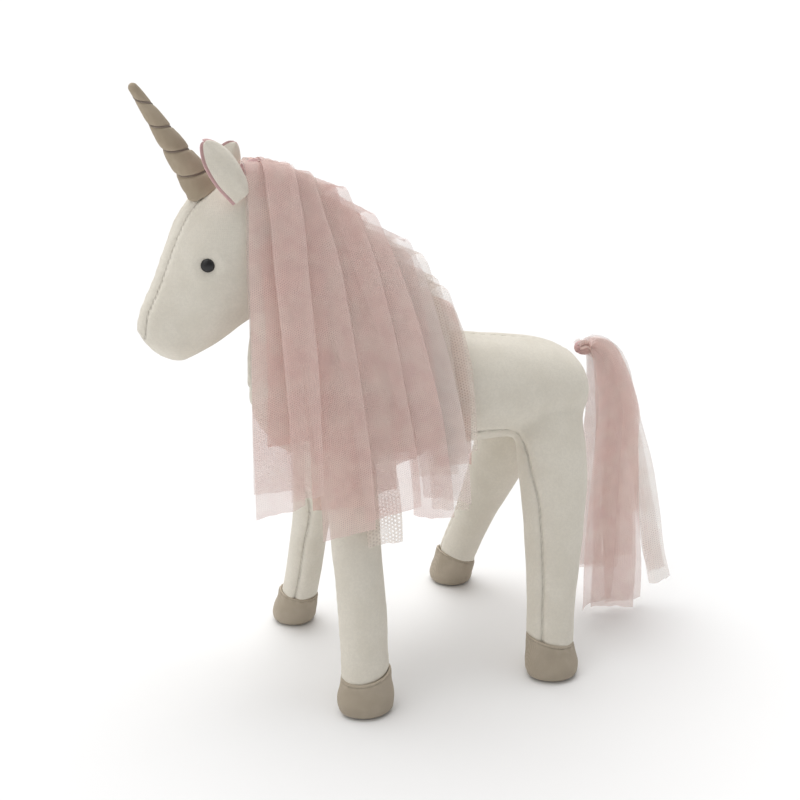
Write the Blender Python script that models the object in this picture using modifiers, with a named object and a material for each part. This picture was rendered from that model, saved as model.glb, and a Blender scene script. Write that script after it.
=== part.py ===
"""A standing plush unicorn, about 35 cm tall: stuffed knit body, splayed legs, wound horn and tulle hair.

It faces -X, its left side is towards -Y and +Z is up. The origin is on the floor, under the
middle of its box. Lengths are in metres. Pairs such as (x, z) lie in the plane of symmetry.
"""
import math

import bmesh
import bpy
from mathutils import Matrix, Vector

HEIGHT_AT_HORN_TIP = 0.3485
FABRIC = 0.0009             # thickness of the knit and of the hoof cloth
GAP = 0.0004                # clearance between neighbouring pieces
STUFFING_INSET = 0.0025     # from the outer surface to the fibre filling
SEAM = math.radians(1.4)    # half a seam's opening, as an angle around a section

# Torso: one station a row, x, underside z, back z, half width
TORSO = (
    (-0.1090, 0.1680, 0.1800, 0.0050),
    (-0.1045, 0.1560, 0.1910, 0.0170),
    (-0.0930, 0.1420, 0.1990, 0.0270),
    (-0.0700, 0.1325, 0.2035, 0.0325),
    (-0.0400, 0.1300, 0.2030, 0.0340),
    (-0.0100, 0.1300, 0.2010, 0.0335),
    (0.0200, 0.1300, 0.1960, 0.0325),
    (0.0500, 0.1290, 0.1905, 0.0320),
    (0.0750, 0.1300, 0.1850, 0.0300),
    (0.0915, 0.1360, 0.1768, 0.0262),
    (0.0985, 0.1480, 0.1660, 0.0140),
)
BELLY_SEAM = math.radians(52)   # belly gusset's edge, from the lowest line of the torso

# Neck and head, one tube: throat-side point, crest-side point, half width
NECK_HEAD = (
    ((-0.1110, 0.1800), (0.0050, 0.2030), 0.0280),
    ((-0.1100, 0.1960), (-0.0100, 0.2180), 0.0270),
    ((-0.1080, 0.2090), (-0.0300, 0.2380), 0.0265),
    ((-0.1080, 0.2220), (-0.0500, 0.2560), 0.0270),
    ((-0.1120, 0.2210), (-0.0750, 0.2840), 0.0285),
    ((-0.1180, 0.2170), (-0.0980, 0.3010), 0.0295),
    ((-0.1240, 0.2130), (-0.1250, 0.2970), 0.0290),
    ((-0.1310, 0.2090), (-0.1430, 0.2810), 0.0270),
    ((-0.1370, 0.2060), (-0.1530, 0.2620), 0.0235),
    ((-0.1430, 0.2035), (-0.1605, 0.2450), 0.0195),
    ((-0.1490, 0.2020), (-0.1675, 0.2310), 0.0160),
    ((-0.1555, 0.2035), (-0.1706, 0.2205), 0.0110),
    ((-0.1620, 0.2070), (-0.1690, 0.2150), 0.0050),
)
NECK_BASE, NECK_LOW, HEAD_LOW, POLL = 0, 1, 3, 5    # rows of NECK_HEAD
GUSSET_HALF_WIDTH = 0.0065

# Legs: z, centre x, centre |y|, half length, half width, from the hip down to the hoof seam
FRONT_LEG = (
    (0.1480, -0.0600, 0.0185, 0.0150, 0.0125),
    (0.1215, -0.0615, 0.0245, 0.0150, 0.0140),
    (0.0950, -0.0620, 0.0325, 0.0138, 0.0136),
    (0.0600, -0.0635, 0.0430, 0.0132, 0.0134),
    (0.0350, -0.0648, 0.0500, 0.0132, 0.0136),
    (0.0195, -0.0660, 0.0545, 0.0136, 0.0134),
)
REAR_LEG = (
    (0.1480, 0.0690, 0.0180, 0.0228, 0.0130),
    (0.1215, 0.0680, 0.0255, 0.0220, 0.0170),
    (0.0950, 0.0648, 0.0350, 0.0200, 0.0165),
    (0.0600, 0.0582, 0.0480, 0.0160, 0.0155),
    (0.0350, 0.0525, 0.0570, 0.0141, 0.0142),
    (0.0195, 0.0495, 0.0625, 0.0134, 0.0136),
)
LEG_TOP_ROW = 1
FRONT_HOOF_CENTRE = (-0.0675, 0.0595)
REAR_HOOF_CENTRE = (0.0490, 0.0680)
# Hoof: z, half length, half width, how far the toe is carried forward
HOOF = (
    (0.0185, 0.0150, 0.0135, 0.0000),
    (0.0130, 0.0164, 0.0140, 0.0012),
    (0.0060, 0.0170, 0.0140, 0.0020),
    (0.0020, 0.0158, 0.0128, 0.0020),
    (0.0000, 0.0130, 0.0102, 0.0018),
)
FRONT_HIP = (-0.0610, 0.1330)
REAR_HIP = (0.0670, 0.1330)

HORN_BASE = (-0.1325, 0.2925)
HORN_TIP = (-0.1675, HEIGHT_AT_HORN_TIP)
HORN_BASE_RADIUS, HORN_TIP_RADIUS = 0.0075, 0.0022
HORN_TURNS = 4.5
THREAD_RADIUS = 0.0004

EYE_ROW, EYE_ANGLE = 7, math.radians(110)
EYE_RADIUS, POST_RADIUS, WASHER_RADIUS = 0.0036, 0.0012, 0.0045

EAR_LENGTH, EAR_HALF_WIDTH, EAR_CUP = 0.0330, 0.0078, 0.0045
# Each ear's base and tip, and the way its back faces: the left ear leans forward, and the right one back
EARS = {
    "left": ((-0.1190, -0.0215, 0.2925), (-0.1370, -0.0255, 0.3205), (0.35, -1.0, 0.15)),
    "right": ((-0.1262, 0.0215, 0.2882), (-0.1122, 0.0225, 0.3135), (0.10, -1.0, 0.20)),
}

# Mane: root x and z on the crest, tip x and z, width at the tip
MANE_LOCKS = (
    ("poll", -0.0960, 0.3045, -0.1120, 0.1260, 0.0200),
    ("upper", -0.0750, 0.2850, -0.0905, 0.1260, 0.0200),
    ("middle", -0.0560, 0.2665, -0.0680, 0.1060, 0.0210),
    ("lower", -0.0370, 0.2480, -0.0450, 0.1040, 0.0210),
    ("withers", -0.0170, 0.2290, -0.0200, 0.1050, 0.0210),
)
# On the right side the locks hang closer together: tip x and width at the tip
RIGHT_TIPS = {"poll": -0.0815, "upper": -0.0660, "middle": -0.0505, "lower": -0.0350, "withers": -0.0195}
RIGHT_TIP_WIDTH = 0.0135
MANE_THICKNESS = 0.0030
# How a lock goes over the neck and down: share of its drop, |y| on the left, |y| on the right
MANE_FALL = ((-0.012, 0.005, 0.005), (-0.015, 0.013, 0.013), (0.02, 0.026, 0.026), (0.10, 0.0375, 0.0375),
             (0.24, 0.043, 0.042), (0.5, 0.049, 0.044), (0.78, 0.055, 0.047), (1.0, 0.0565, 0.0480))

TAIL_KNOT = (0.1035, 0.1765)
# Tail: y, half thickness, then x, z and half width down the lock
TAIL_LOCKS = (
    ("inner", -0.0085, 0.0036, ((0.1120, 0.1740, 0.0030), (0.1150, 0.1500, 0.0050), (0.1170, 0.1100, 0.0070),
                                (0.1190, 0.0600, 0.0085), (0.1200, 0.0060, 0.0100))),
    ("middle", 0.0000, 0.0036, ((0.1130, 0.1770, 0.0030), (0.1240, 0.1600, 0.0055), (0.1340, 0.1200, 0.0080),
                                (0.1400, 0.0600, 0.0095), (0.1420, 0.0050, 0.0110))),
    ("outer", 0.0085, 0.0036, ((0.1130, 0.1780, 0.0030), (0.1300, 0.1680, 0.0050), (0.1450, 0.1360, 0.0070),
                               (0.1560, 0.0800, 0.0085), (0.1606, 0.0060, 0.0100))),
)

CREAM = (0.80, 0.78, 0.73)
TAUPE = (0.30, 0.25, 0.21)
PINK = (0.62, 0.38, 0.39)
PALE_PINK = (0.74, 0.60, 0.60)
FIBRE = (0.90, 0.90, 0.90)
BLACK = (0.010, 0.010, 0.011)
CLEAR_WHITE = (0.80, 0.80, 0.78)


def clear_scene():
    for obj in list(bpy.data.objects):
        bpy.data.objects.remove(obj, do_unlink=True)


def new_collection(name):
    collection = bpy.data.collections.new(name)
    bpy.context.scene.collection.children.link(collection)
    return collection


def material(name, colour, roughness, metallic=0.0):
    mat = bpy.data.materials.new(name)
    mat.use_nodes = True
    shader = mat.node_tree.nodes["Principled BSDF"]
    shader.inputs["Base Color"].default_value = (*colour, 1.0)
    shader.inputs["Roughness"].default_value = roughness
    shader.inputs["Metallic"].default_value = metallic
    return mat


def place(name, mesh, pivot, colour, roughness):
    """A named object whose origin is at pivot, with the mesh given in world coordinates."""
    mesh.transform(Matrix.Translation(-Vector(pivot)))
    obj = bpy.data.objects.new(name, mesh)
    obj.location = pivot
    mesh.materials.append(material(name, colour, roughness))
    for polygon in mesh.polygons:
        polygon.use_smooth = True
    mesh.set_sharp_from_angle(angle=math.radians(40))
    TOY.objects.link(obj)
    return obj


def finish(bm, name, pivot, colour, roughness):
    bmesh.ops.recalc_face_normals(bm, faces=bm.faces)
    mesh = bpy.data.meshes.new(name)
    bm.to_mesh(mesh)
    bm.free()
    return place(name, mesh, pivot, colour, roughness)


def cutter(obj):
    obj.hide_render = True
    obj.display_type = "WIRE"
    TOY.objects.unlink(obj)
    CUTTERS.objects.link(obj)
    return obj


def cut(obj, tool, operation="DIFFERENCE"):
    boolean = obj.modifiers.new("cut", "BOOLEAN")
    boolean.operation = operation
    boolean.solver = "EXACT"
    boolean.object = tool


def upright(x, low, high, half_width):
    """A section across the plane of symmetry: centre, half axis in that plane, half width."""
    low, high = Vector((x, 0, low)), Vector((x, 0, high))
    return (low + high) / 2, (high - low) / 2, half_width


def slanted(throat, crest, half_width):
    throat, crest = Vector((throat[0], 0, throat[1])), Vector((crest[0], 0, crest[1]))
    return (throat + crest) / 2, (crest - throat) / 2, half_width


def section_point(section, angle):
    """Angle 0 is the section's low or throat side, and 90 degrees its left side."""
    centre, half, half_width = section
    return centre - half * math.cos(angle) - Vector((0, half_width, 0)) * math.sin(angle)


def inset(section, depth):
    centre, half, half_width = section
    return centre, half * (1 - depth / half.length), half_width - depth


def between(first, second, share):
    """The section that lies a share of the way from the first to the second."""
    return tuple(a + (b - a) * share for a, b in zip(first, second))


def loft(rings):
    """A closed solid through rings of equal count, with flat caps."""
    bm = bmesh.new()
    rows = [[bm.verts.new(point) for point in ring] for ring in rings]
    count = len(rows[0])
    for upper, lower in zip(rows, rows[1:]):
        for i in range(count):
            j = (i + 1) % count
            bm.faces.new((upper[i], upper[j], lower[j], lower[i]))
    bm.faces.new(rows[0])
    bm.faces.new(list(reversed(rows[-1])))
    return bm


def full_ring(section, count):
    return [section_point(section, 2 * math.pi * i / count) for i in range(count)]


def sheet_mesh(name, rows):
    """An open surface through rows of points."""
    bm = bmesh.new()
    rows = [[bm.verts.new(point) for point in row] for row in rows]
    for upper, lower in zip(rows, rows[1:]):
        for i in range(len(upper) - 1):
            bm.faces.new((upper[i], upper[i + 1], lower[i + 1], lower[i]))
    bmesh.ops.recalc_face_normals(bm, faces=bm.faces)
    mesh = bpy.data.meshes.new(name)
    bm.to_mesh(mesh)
    bm.free()
    return mesh


def facing(mesh, centre):
    """Turns the open surface so that its faces look away from the centre."""
    out = sum((polygon.center - centre(polygon.center)).dot(polygon.normal) for polygon in mesh.polygons)
    if out < 0:
        mesh.flip_normals()
    return mesh


def thicken(obj, thickness, offset=-1.0):
    solidify = obj.modifiers.new("fabric", "SOLIDIFY")
    solidify.thickness = thickness
    solidify.offset = offset
    solidify.use_even_offset = True
    return obj


def panel(name, sections, low, high, steps, pivot, colour, roughness=0.9):
    """Fabric over the sections, from angle low(i) to angle high(i) at section i."""
    rows = []
    for i, section in enumerate(sections):
        start, end = low(i), high(i)
        rows.append([section_point(section, start + (end - start) * k / steps) for k in range(steps + 1)])
    middles = [section[0] for section in sections]
    mesh = facing(sheet_mesh(name, rows), lambda p: min(middles, key=lambda c: (c - p).length))
    return thicken(place(name, mesh, pivot, colour, roughness), FABRIC)


def mirrored(point):
    return Vector((point[0], -point[1], point[2]))


def leg_ring(row, side, count, depth=0.0):
    z, x, y, half_length, half_width = row
    points = []
    for i in range(count):
        angle = 2 * math.pi * i / count
        points.append(Vector((x - (half_length - depth) * math.sin(angle),
                              side * (y + (half_width - depth) * math.cos(angle)), z)))
    return points


def leg_row_at(rows, z):
    for upper, lower in zip(rows, rows[1:]):
        if lower[0] <= z <= upper[0]:
            share = (upper[0] - z) / (upper[0] - lower[0])
            return tuple(a + (b - a) * share for a, b in zip(upper, lower))
    return rows[-1]


def hoof_ring(row, centre, side, ankle, share, count):
    """A hoof section; share 1 is centred under the hoof and share 0 under the ankle."""
    z, half_length, half_width, toe = row
    x = ankle[1] + (centre[0] - ankle[1]) * share
    y = ankle[2] + (centre[1] - ankle[2]) * share
    points = []
    for i in range(count):
        angle = 2 * math.pi * i / count
        forward = -half_length * math.sin(angle)
        reach = toe if forward < 0 else 0.0
        points.append(Vector((x + forward - reach * math.sin(angle) ** 2,
                              side * (y + half_width * math.cos(angle)), z)))
    return points


clear_scene()
TOY = new_collection("Plush_unicorn")
CUTTERS = new_collection("Cutters")


# Torso: fibre filling, two side panels and a belly gusset
torso_sections = [upright(*row) for row in TORSO]
TORSO_SEGMENTS = 24
END_SHARE = 0.35    # how far the filling's blunt ends stand back from the last full sections
torso_fill = [between(torso_sections[1], torso_sections[2], END_SHARE), *torso_sections[2:-2],
              between(torso_sections[-2], torso_sections[-3], END_SHARE)]
torso_fill = [inset(section, STUFFING_INSET) for section in torso_fill]
torso_stuffing = finish(loft([full_ring(s, TORSO_SEGMENTS) for s in torso_fill]), "torso_stuffing",
                        (0, 0, 0), FIBRE, 1.0)
torso_shells = [torso_stuffing]
for side_name, turn in (("left", 1), ("right", -1)):
    torso_shells.append(panel(
        f"torso_side_panel_{side_name}", torso_sections,
        lambda i, t=turn: t * (BELLY_SEAM + SEAM), lambda i, t=turn: t * (math.pi - SEAM),
        9, (0, 0, 0), CREAM))
torso_shells.append(panel("belly_gusset", torso_sections, lambda i: -BELLY_SEAM + SEAM,
                          lambda i: BELLY_SEAM - SEAM, 8, (0, 0, 0), CREAM))

# The neck stands on the slanted plane of its lowest section
neck_sections = [slanted(*row) for row in NECK_HEAD]
base_centre, base_half, _ = neck_sections[NECK_BASE]
base_along = base_half.normalized()
base_up = Vector((-base_along.z, 0, base_along.x))
bpy.ops.mesh.primitive_cube_add(size=1.0)
above_neck_plane = bpy.context.active_object
above_neck_plane.name = "above_neck_plane"
for collection in list(above_neck_plane.users_collection):
    collection.objects.unlink(above_neck_plane)
TOY.objects.link(above_neck_plane)
BLOCK_LENGTH, BLOCK_HEIGHT = 0.170, 0.080
tilt = Matrix((base_along, Vector((0, 1, 0)), base_up)).transposed().to_4x4()
middle = base_centre + base_up * (BLOCK_HEIGHT / 2 - GAP)
above_neck_plane.data.transform(
    Matrix.Translation(middle) @ tilt @ Matrix.Diagonal((BLOCK_LENGTH, 0.12, BLOCK_HEIGHT, 1.0)))
cutter(above_neck_plane)
for piece in torso_shells:
    cut(piece, above_neck_plane)

# Neck and head
NECK_SEGMENTS = 24
neck_pivot = base_centre + base_up * 0.001
head_centre, head_half, _ = neck_sections[HEAD_LOW]
head_axis = Vector((head_half.z, 0, -head_half.x)).normalized()


def shifted(section, along):
    centre, half, half_width = section
    return centre + along, half, half_width


def tube(name, sections, depth, pivot, colour):
    rings = [full_ring(inset(section, depth), NECK_SEGMENTS) for section in sections]
    return finish(loft(rings), name, pivot, colour, 1.0)


low_normal = Vector((-neck_sections[NECK_LOW][1].z, 0, neck_sections[NECK_LOW][1].x)).normalized()
slab = [shifted(neck_sections[NECK_BASE], base_up * GAP), shifted(neck_sections[NECK_LOW], -low_normal * 2 * GAP)]
tube("neck_root_flex", slab, 0.0, neck_pivot, CREAM)
neck_part = list(neck_sections[NECK_LOW:HEAD_LOW + 1])
neck_part[-1] = shifted(neck_part[-1], head_axis * GAP)
tube("neck_stuffing", neck_part, STUFFING_INSET, neck_pivot, FIBRE)
for side_name, turn in (("left", 1), ("right", -1)):
    panel(f"neck_side_panel_{side_name}", neck_part, lambda i, t=turn: t * SEAM,
          lambda i, t=turn: t * (math.pi - SEAM), 9, neck_pivot, CREAM)

head_part = neck_sections[HEAD_LOW:]
head_part[0] = shifted(head_part[0], -head_axis * GAP)
gusset_rows = POLL - HEAD_LOW
head_fill = [*head_part[:-2], between(head_part[-2], head_part[-3], END_SHARE)]
head_stuffing = tube("head_stuffing", head_fill, STUFFING_INSET, head_centre, FIBRE)


def gusset_angle(section):
    return math.asin(min(0.9, GUSSET_HALF_WIDTH / section[2]))


def head_edge(i):
    """Where a head side panel ends: at the crest behind the poll, at the gusset before it."""
    if i < gusset_rows:
        return math.pi - SEAM
    return math.pi - gusset_angle(head_part[i]) - SEAM


head_panels = {}
for side_name, turn in (("left", 1), ("right", -1)):
    head_panels[turn] = panel(f"head_side_panel_{side_name}", head_part, lambda i, t=turn: t * SEAM,
                              lambda i, t=turn: t * head_edge(i), 10, head_centre, CREAM)
gusset_part = head_part[gusset_rows:]
head_gusset = panel("head_gusset", gusset_part,
                    lambda i: math.pi - gusset_angle(gusset_part[i]) + SEAM,
                    lambda i: math.pi + gusset_angle(gusset_part[i]) - SEAM, 4, head_centre, CREAM)

# Safety eyes: a bead on a post through the panel, held by a washer inside
eye_point = section_point(neck_sections[EYE_ROW], EYE_ANGLE)
ahead = section_point(neck_sections[EYE_ROW + 1], EYE_ANGLE)
higher = section_point(neck_sections[EYE_ROW], EYE_ANGLE + 0.1)
eye_normal = (ahead - eye_point).cross(higher - eye_point).normalized()
if eye_normal.y > 0:
    eye_normal = -eye_normal


def turned(name, profile, origin, direction, colour, roughness, steps=16):
    """A solid of revolution; the profile is (radius, distance along the axis), outermost last."""
    mesh = bpy.data.meshes.new(name)
    bm = bmesh.new()
    verts = [bm.verts.new((radius, 0, along)) for radius, along in profile]
    for a, b in zip(verts, verts[1:]):
        bm.edges.new((a, b))
    bm.to_mesh(mesh)
    bm.free()
    obj = bpy.data.objects.new(name, mesh)
    obj.matrix_world = Matrix.Translation(origin) @ direction.to_track_quat("Z", "Y").to_matrix().to_4x4()
    mesh.materials.append(material(name, colour, roughness))
    screw = obj.modifiers.new("turn", "SCREW")
    screw.axis = "Z"
    screw.steps = steps
    screw.render_steps = steps
    screw.use_merge_vertices = True
    screw.merge_threshold = 0.00001
    screw.use_smooth_shade = True
    TOY.objects.link(obj)
    return obj


BEAD_STEPS = 6
BEAD_LIFT = 0.0006
POST_LENGTH = 0.0070
WASHER_FACE = 0.0027
WASHER_THICKNESS = 0.0010
bead = [(0.0, BEAD_LIFT + EYE_RADIUS * 0.8)]
for k in range(1, BEAD_STEPS):
    t = math.pi / 2 * k / BEAD_STEPS
    bead.append((EYE_RADIUS * math.sin(t), BEAD_LIFT + EYE_RADIUS * 0.8 * math.cos(t)))
bead += [(EYE_RADIUS, BEAD_LIFT), (POST_RADIUS, BEAD_LIFT), (POST_RADIUS, -POST_LENGTH), (0.0, -POST_LENGTH)]
washer = [(POST_RADIUS + 0.0003, -WASHER_FACE), (WASHER_RADIUS, -WASHER_FACE),
          (WASHER_RADIUS, -WASHER_FACE - WASHER_THICKNESS),
          (POST_RADIUS + 0.0003, -WASHER_FACE - WASHER_THICKNESS), (POST_RADIUS + 0.0003, -WASHER_FACE)]
hole = [(0.0, 0.004), (POST_RADIUS + 0.0003, 0.004), (POST_RADIUS + 0.0003, -0.007), (0.0, -0.007)]
pocket = [(0.0, 0.004), (WASHER_RADIUS + 0.0006, 0.004), (WASHER_RADIUS + 0.0006, -0.0082), (0.0, -0.0082)]
for side_name, turn in (("left", 1), ("right", -1)):
    point = eye_point if turn == 1 else mirrored(eye_point)
    normal = eye_normal if turn == 1 else mirrored(eye_normal)
    turned(f"eye_{side_name}", bead, point, normal, BLACK, 0.35)
    turned(f"eye_washer_{side_name}", washer, point, normal, CLEAR_WHITE, 0.4)
    post_hole = cutter(turned(f"eye_hole_{side_name}", hole, point, normal, FIBRE, 1.0))
    eye_pocket = cutter(turned(f"eye_pocket_{side_name}", pocket, point, normal, FIBRE, 1.0))
    cut(head_panels[turn], post_hole)
    cut(head_stuffing, eye_pocket)

# Horn: a filled sleeve with a thread wound round it
horn_base = Vector((HORN_BASE[0], 0, HORN_BASE[1]))
horn_tip = Vector((HORN_TIP[0], 0, HORN_TIP[1]))
horn_direction = (horn_tip - horn_base).normalized()
horn_length = (horn_tip - horn_base).length - HORN_TIP_RADIUS * 0.45
HORN_FOOT = 0.0040
horn_sleeve = turned(
    "horn_sleeve",
    [(0.0, horn_length), (HORN_TIP_RADIUS * 0.7, horn_length - 0.0006),
     (HORN_TIP_RADIUS, horn_length - 0.0020), (HORN_BASE_RADIUS, HORN_FOOT),
     (HORN_BASE_RADIUS - FABRIC, HORN_FOOT), (HORN_TIP_RADIUS - FABRIC, horn_length - 0.0040),
     (0.0, horn_length - 0.0040)],
    horn_base, horn_direction, TAUPE, 0.85, 20)
turned("horn_stuffing",
       [(0.0, horn_length - 0.0045), (HORN_TIP_RADIUS - FABRIC - GAP, horn_length - 0.0060),
        (HORN_BASE_RADIUS - FABRIC - GAP, HORN_FOOT), (0.0, HORN_FOOT)],
       horn_base, horn_direction, FIBRE, 1.0, 12)

THREAD_START, THREAD_END = 0.0070, 0.0035
thread_curve = bpy.data.curves.new("horn_thread", "CURVE")
thread_curve.dimensions = "3D"
thread_curve.bevel_depth = THREAD_RADIUS
thread_curve.bevel_resolution = 0
thread_curve.use_fill_caps = True
spline = thread_curve.splines.new("POLY")
POINTS_PER_TURN = 14
count = round(HORN_TURNS * POINTS_PER_TURN)
spline.points.add(count)
thread_frame = Matrix.Translation(horn_base) @ horn_direction.to_track_quat("Z", "Y").to_matrix().to_4x4()
for k in range(count + 1):
    along = THREAD_START + (horn_length - THREAD_START - THREAD_END) * k / count
    slope = (HORN_BASE_RADIUS - HORN_TIP_RADIUS) / (horn_length - 0.0020 - HORN_FOOT)
    radius = HORN_BASE_RADIUS - slope * (along - HORN_FOOT) + THREAD_RADIUS + 0.0002
    angle = -2 * math.pi * k / POINTS_PER_TURN
    point = thread_frame @ Vector((radius * math.cos(angle), radius * math.sin(angle), along))
    spline.points[k].co = (*point, 1.0)
thread = bpy.data.objects.new("horn_thread", thread_curve)
thread_curve.materials.append(material("horn_thread", TAUPE, 0.7))
TOY.objects.link(thread)

# Ears: an outer leaf and a lining, each cupped
EAR_ROWS, EAR_STEPS = 8, 6


def ear_leaf(base, tip, back, lift, shrink):
    along = (tip - base).normalized()
    out = (back - along * back.dot(along)).normalized()
    across = along.cross(out).normalized()
    rows = []
    for i in range(EAR_ROWS + 1):
        t = i / EAR_ROWS
        width = (EAR_HALF_WIDTH - shrink) * max(0.16, math.sin(math.pi * (0.17 + 0.80 * t)) ** 0.8)
        row = []
        for k in range(EAR_STEPS + 1):
            s = -1 + 2 * k / EAR_STEPS
            cup = EAR_CUP * (1 - s * s) * math.sin(math.pi * (0.2 + 0.75 * t))
            row.append(base + along * (EAR_LENGTH * t) + across * (width * s) + out * (cup + lift))
        rows.append(row)
    return rows, out


for side_name, (pivot, tip, back) in EARS.items():
    for layer, lift, shrink, colour in (("outer", 0.0, 0.0, CREAM), ("lining", -FABRIC - 0.0007, 0.0008, PINK)):
        rows, out = ear_leaf(Vector(pivot), Vector(tip), Vector(back), lift, shrink)
        mesh = sheet_mesh(f"ear_{layer}_{side_name}", rows)
        facing(mesh, lambda p, o=out: p - o)
        thicken(place(mesh.name, mesh, pivot, colour, 0.9), FABRIC)

# Legs: filling, outer and inner panel, hoof, and the soft root that flexes at the hip
LEG_SEGMENTS = 16
FLEX_TOP = 0.1480
torso_outside = cutter(finish(
    loft([full_ring((s[0], s[1] * (1 + GAP / s[1].length), s[2] + GAP), TORSO_SEGMENTS) for s in torso_sections]),
    "torso_outside", (0, 0, 0), FIBRE, 1.0))
for end, rows, hoof_centre, hip in (("front", FRONT_LEG, FRONT_HOOF_CENTRE, FRONT_HIP),
                                    ("rear", REAR_LEG, REAR_HOOF_CENTRE, REAR_HIP)):
    for side_name, side in (("left", -1), ("right", 1)):
        label = f"{end}_{side_name}"
        pivot = (hip[0], side * rows[LEG_TOP_ROW][2], hip[1])
        column = rows[LEG_TOP_ROW:]
        finish(loft([leg_ring(row, side, LEG_SEGMENTS, STUFFING_INSET) for row in column]),
               f"leg_stuffing_{label}", pivot, FIBRE, 1.0)
        for which, first in (("outer", 0), ("inner", LEG_SEGMENTS // 2)):
            surface = []
            for row in column:
                z, x, y, half_length, half_width = row
                line = []
                for k in range(LEG_SEGMENTS // 2 + 1):
                    start = first * 2 * math.pi / LEG_SEGMENTS - math.pi / 2 + SEAM * 2
                    angle = start + (math.pi - 4 * SEAM) * k / (LEG_SEGMENTS // 2)
                    line.append(Vector((x - half_length * math.sin(angle),
                                        side * (y + half_width * math.cos(angle)), z)))
                surface.append(line)
            mesh = sheet_mesh(f"leg_{which}_panel_{label}", surface)
            axis_points = [Vector((row[1], side * row[2], row[0])) for row in column]
            facing(mesh, lambda p, a=axis_points: min(a, key=lambda c: (c - p).length))
            thicken(place(mesh.name, mesh, pivot, CREAM, 0.9), FABRIC)
        ankle = column[-1]
        shares = (0.05, 0.45, 0.85, 1.0, 1.0)
        finish(loft([hoof_ring(row, hoof_centre, side, ankle, share, LEG_SEGMENTS)
                     for row, share in zip(HOOF, shares)]), f"hoof_{label}", pivot, TAUPE, 0.85)
        root_rows = [leg_row_at(rows, FLEX_TOP), leg_row_at(rows, 0.135),
                     leg_row_at(rows, rows[LEG_TOP_ROW][0] + 2 * GAP)]
        root = finish(loft([leg_ring(row, side, LEG_SEGMENTS) for row in root_rows]),
                      f"leg_root_flex_{label}", pivot, CREAM, 0.9)
        cut(root, torso_outside)

# Mane: tulle locks sewn along the crest, hanging down each side of the neck
CREST_LINE = Vector((MANE_LOCKS[-1][1] - MANE_LOCKS[0][1], 0, MANE_LOCKS[-1][2] - MANE_LOCKS[0][2])).normalized()
ROOT_HALF_WIDTH = 0.0095
MANE_HINGE_OFFSET = 0.004
for side_name, side in (("left", -1), ("right", 1)):
    mane_pivot = ((MANE_LOCKS[0][1] + MANE_LOCKS[-1][1]) / 2, side * MANE_HINGE_OFFSET,
                  (MANE_LOCKS[0][2] + MANE_LOCKS[-1][2]) / 2)
    for lock, root_x, root_z, tip_x, tip_z, tip_width in MANE_LOCKS:
        if side > 0:
            tip_x, tip_width = RIGHT_TIPS[lock], RIGHT_TIP_WIDTH
        surface = []
        for share, *fall in MANE_FALL:
            y = fall[side > 0]
            down = max(0.0, share)
            x = root_x + (tip_x - root_x) * down ** 0.8
            z = root_z + (tip_z - root_z) * share
            blend = min(1.0, down * 3.0)
            along = CREST_LINE.lerp(Vector((1, 0, 0)), blend).normalized()
            half = ROOT_HALF_WIDTH + (tip_width / 2 - ROOT_HALF_WIDTH) * down ** 0.5
            middle = Vector((x, side * y, z))
            surface.append([middle - along * half, middle, middle + along * half])
        mesh = sheet_mesh(f"mane_{side_name}_{lock}", surface)
        facing(mesh, lambda p: Vector((p.x, 0, p.z - 0.01)))
        thicken(place(mesh.name, mesh, mane_pivot, PALE_PINK, 0.8), MANE_THICKNESS, 1.0)

# Tail: the gathered knot and three locks
knot_centre = Vector((TAIL_KNOT[0], 0, TAIL_KNOT[1]))
knot = [(0.0, 0.0055)]
for k in range(1, 8):
    t = math.pi * k / 8
    knot.append((0.0062 * math.sin(t) ** 0.8, 0.0055 * math.cos(t)))
knot.append((0.0, -0.0055))
turned("tail_knot", knot, knot_centre, Vector((0.9, 0, 0.35)).normalized(), PINK, 0.85, 14)
for lock, y, half_thickness, path in TAIL_LOCKS:
    rings = []
    for i, (x, z, half_width) in enumerate(path):
        a = path[max(0, i - 1)]
        b = path[min(len(path) - 1, i + 1)]
        along = Vector((b[0] - a[0], 0, b[1] - a[1])).normalized()
        if i == len(path) - 1:
            along = Vector((0, 0, -1))
        across = Vector((-along.z, 0, along.x))
        ring = []
        for k in range(12):
            angle = 2 * math.pi * k / 12
            ring.append(Vector((x, y, z)) + across * (half_width * math.cos(angle))
                        + Vector((0, half_thickness * math.sin(angle), 0)))
        rings.append(ring)
    finish(loft(rings), f"tail_lock_{lock}", (TAIL_KNOT[0], 0, TAIL_KNOT[1]), PALE_PINK, 0.8)
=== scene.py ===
from math import asin, cos, exp, pi, radians, sin, sqrt

import bmesh
import bpy
import numpy as np
from mathutils import Matrix, Vector, noise
from mathutils.bvhtree import BVHTree
from mathutils.kdtree import KDTree


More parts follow.
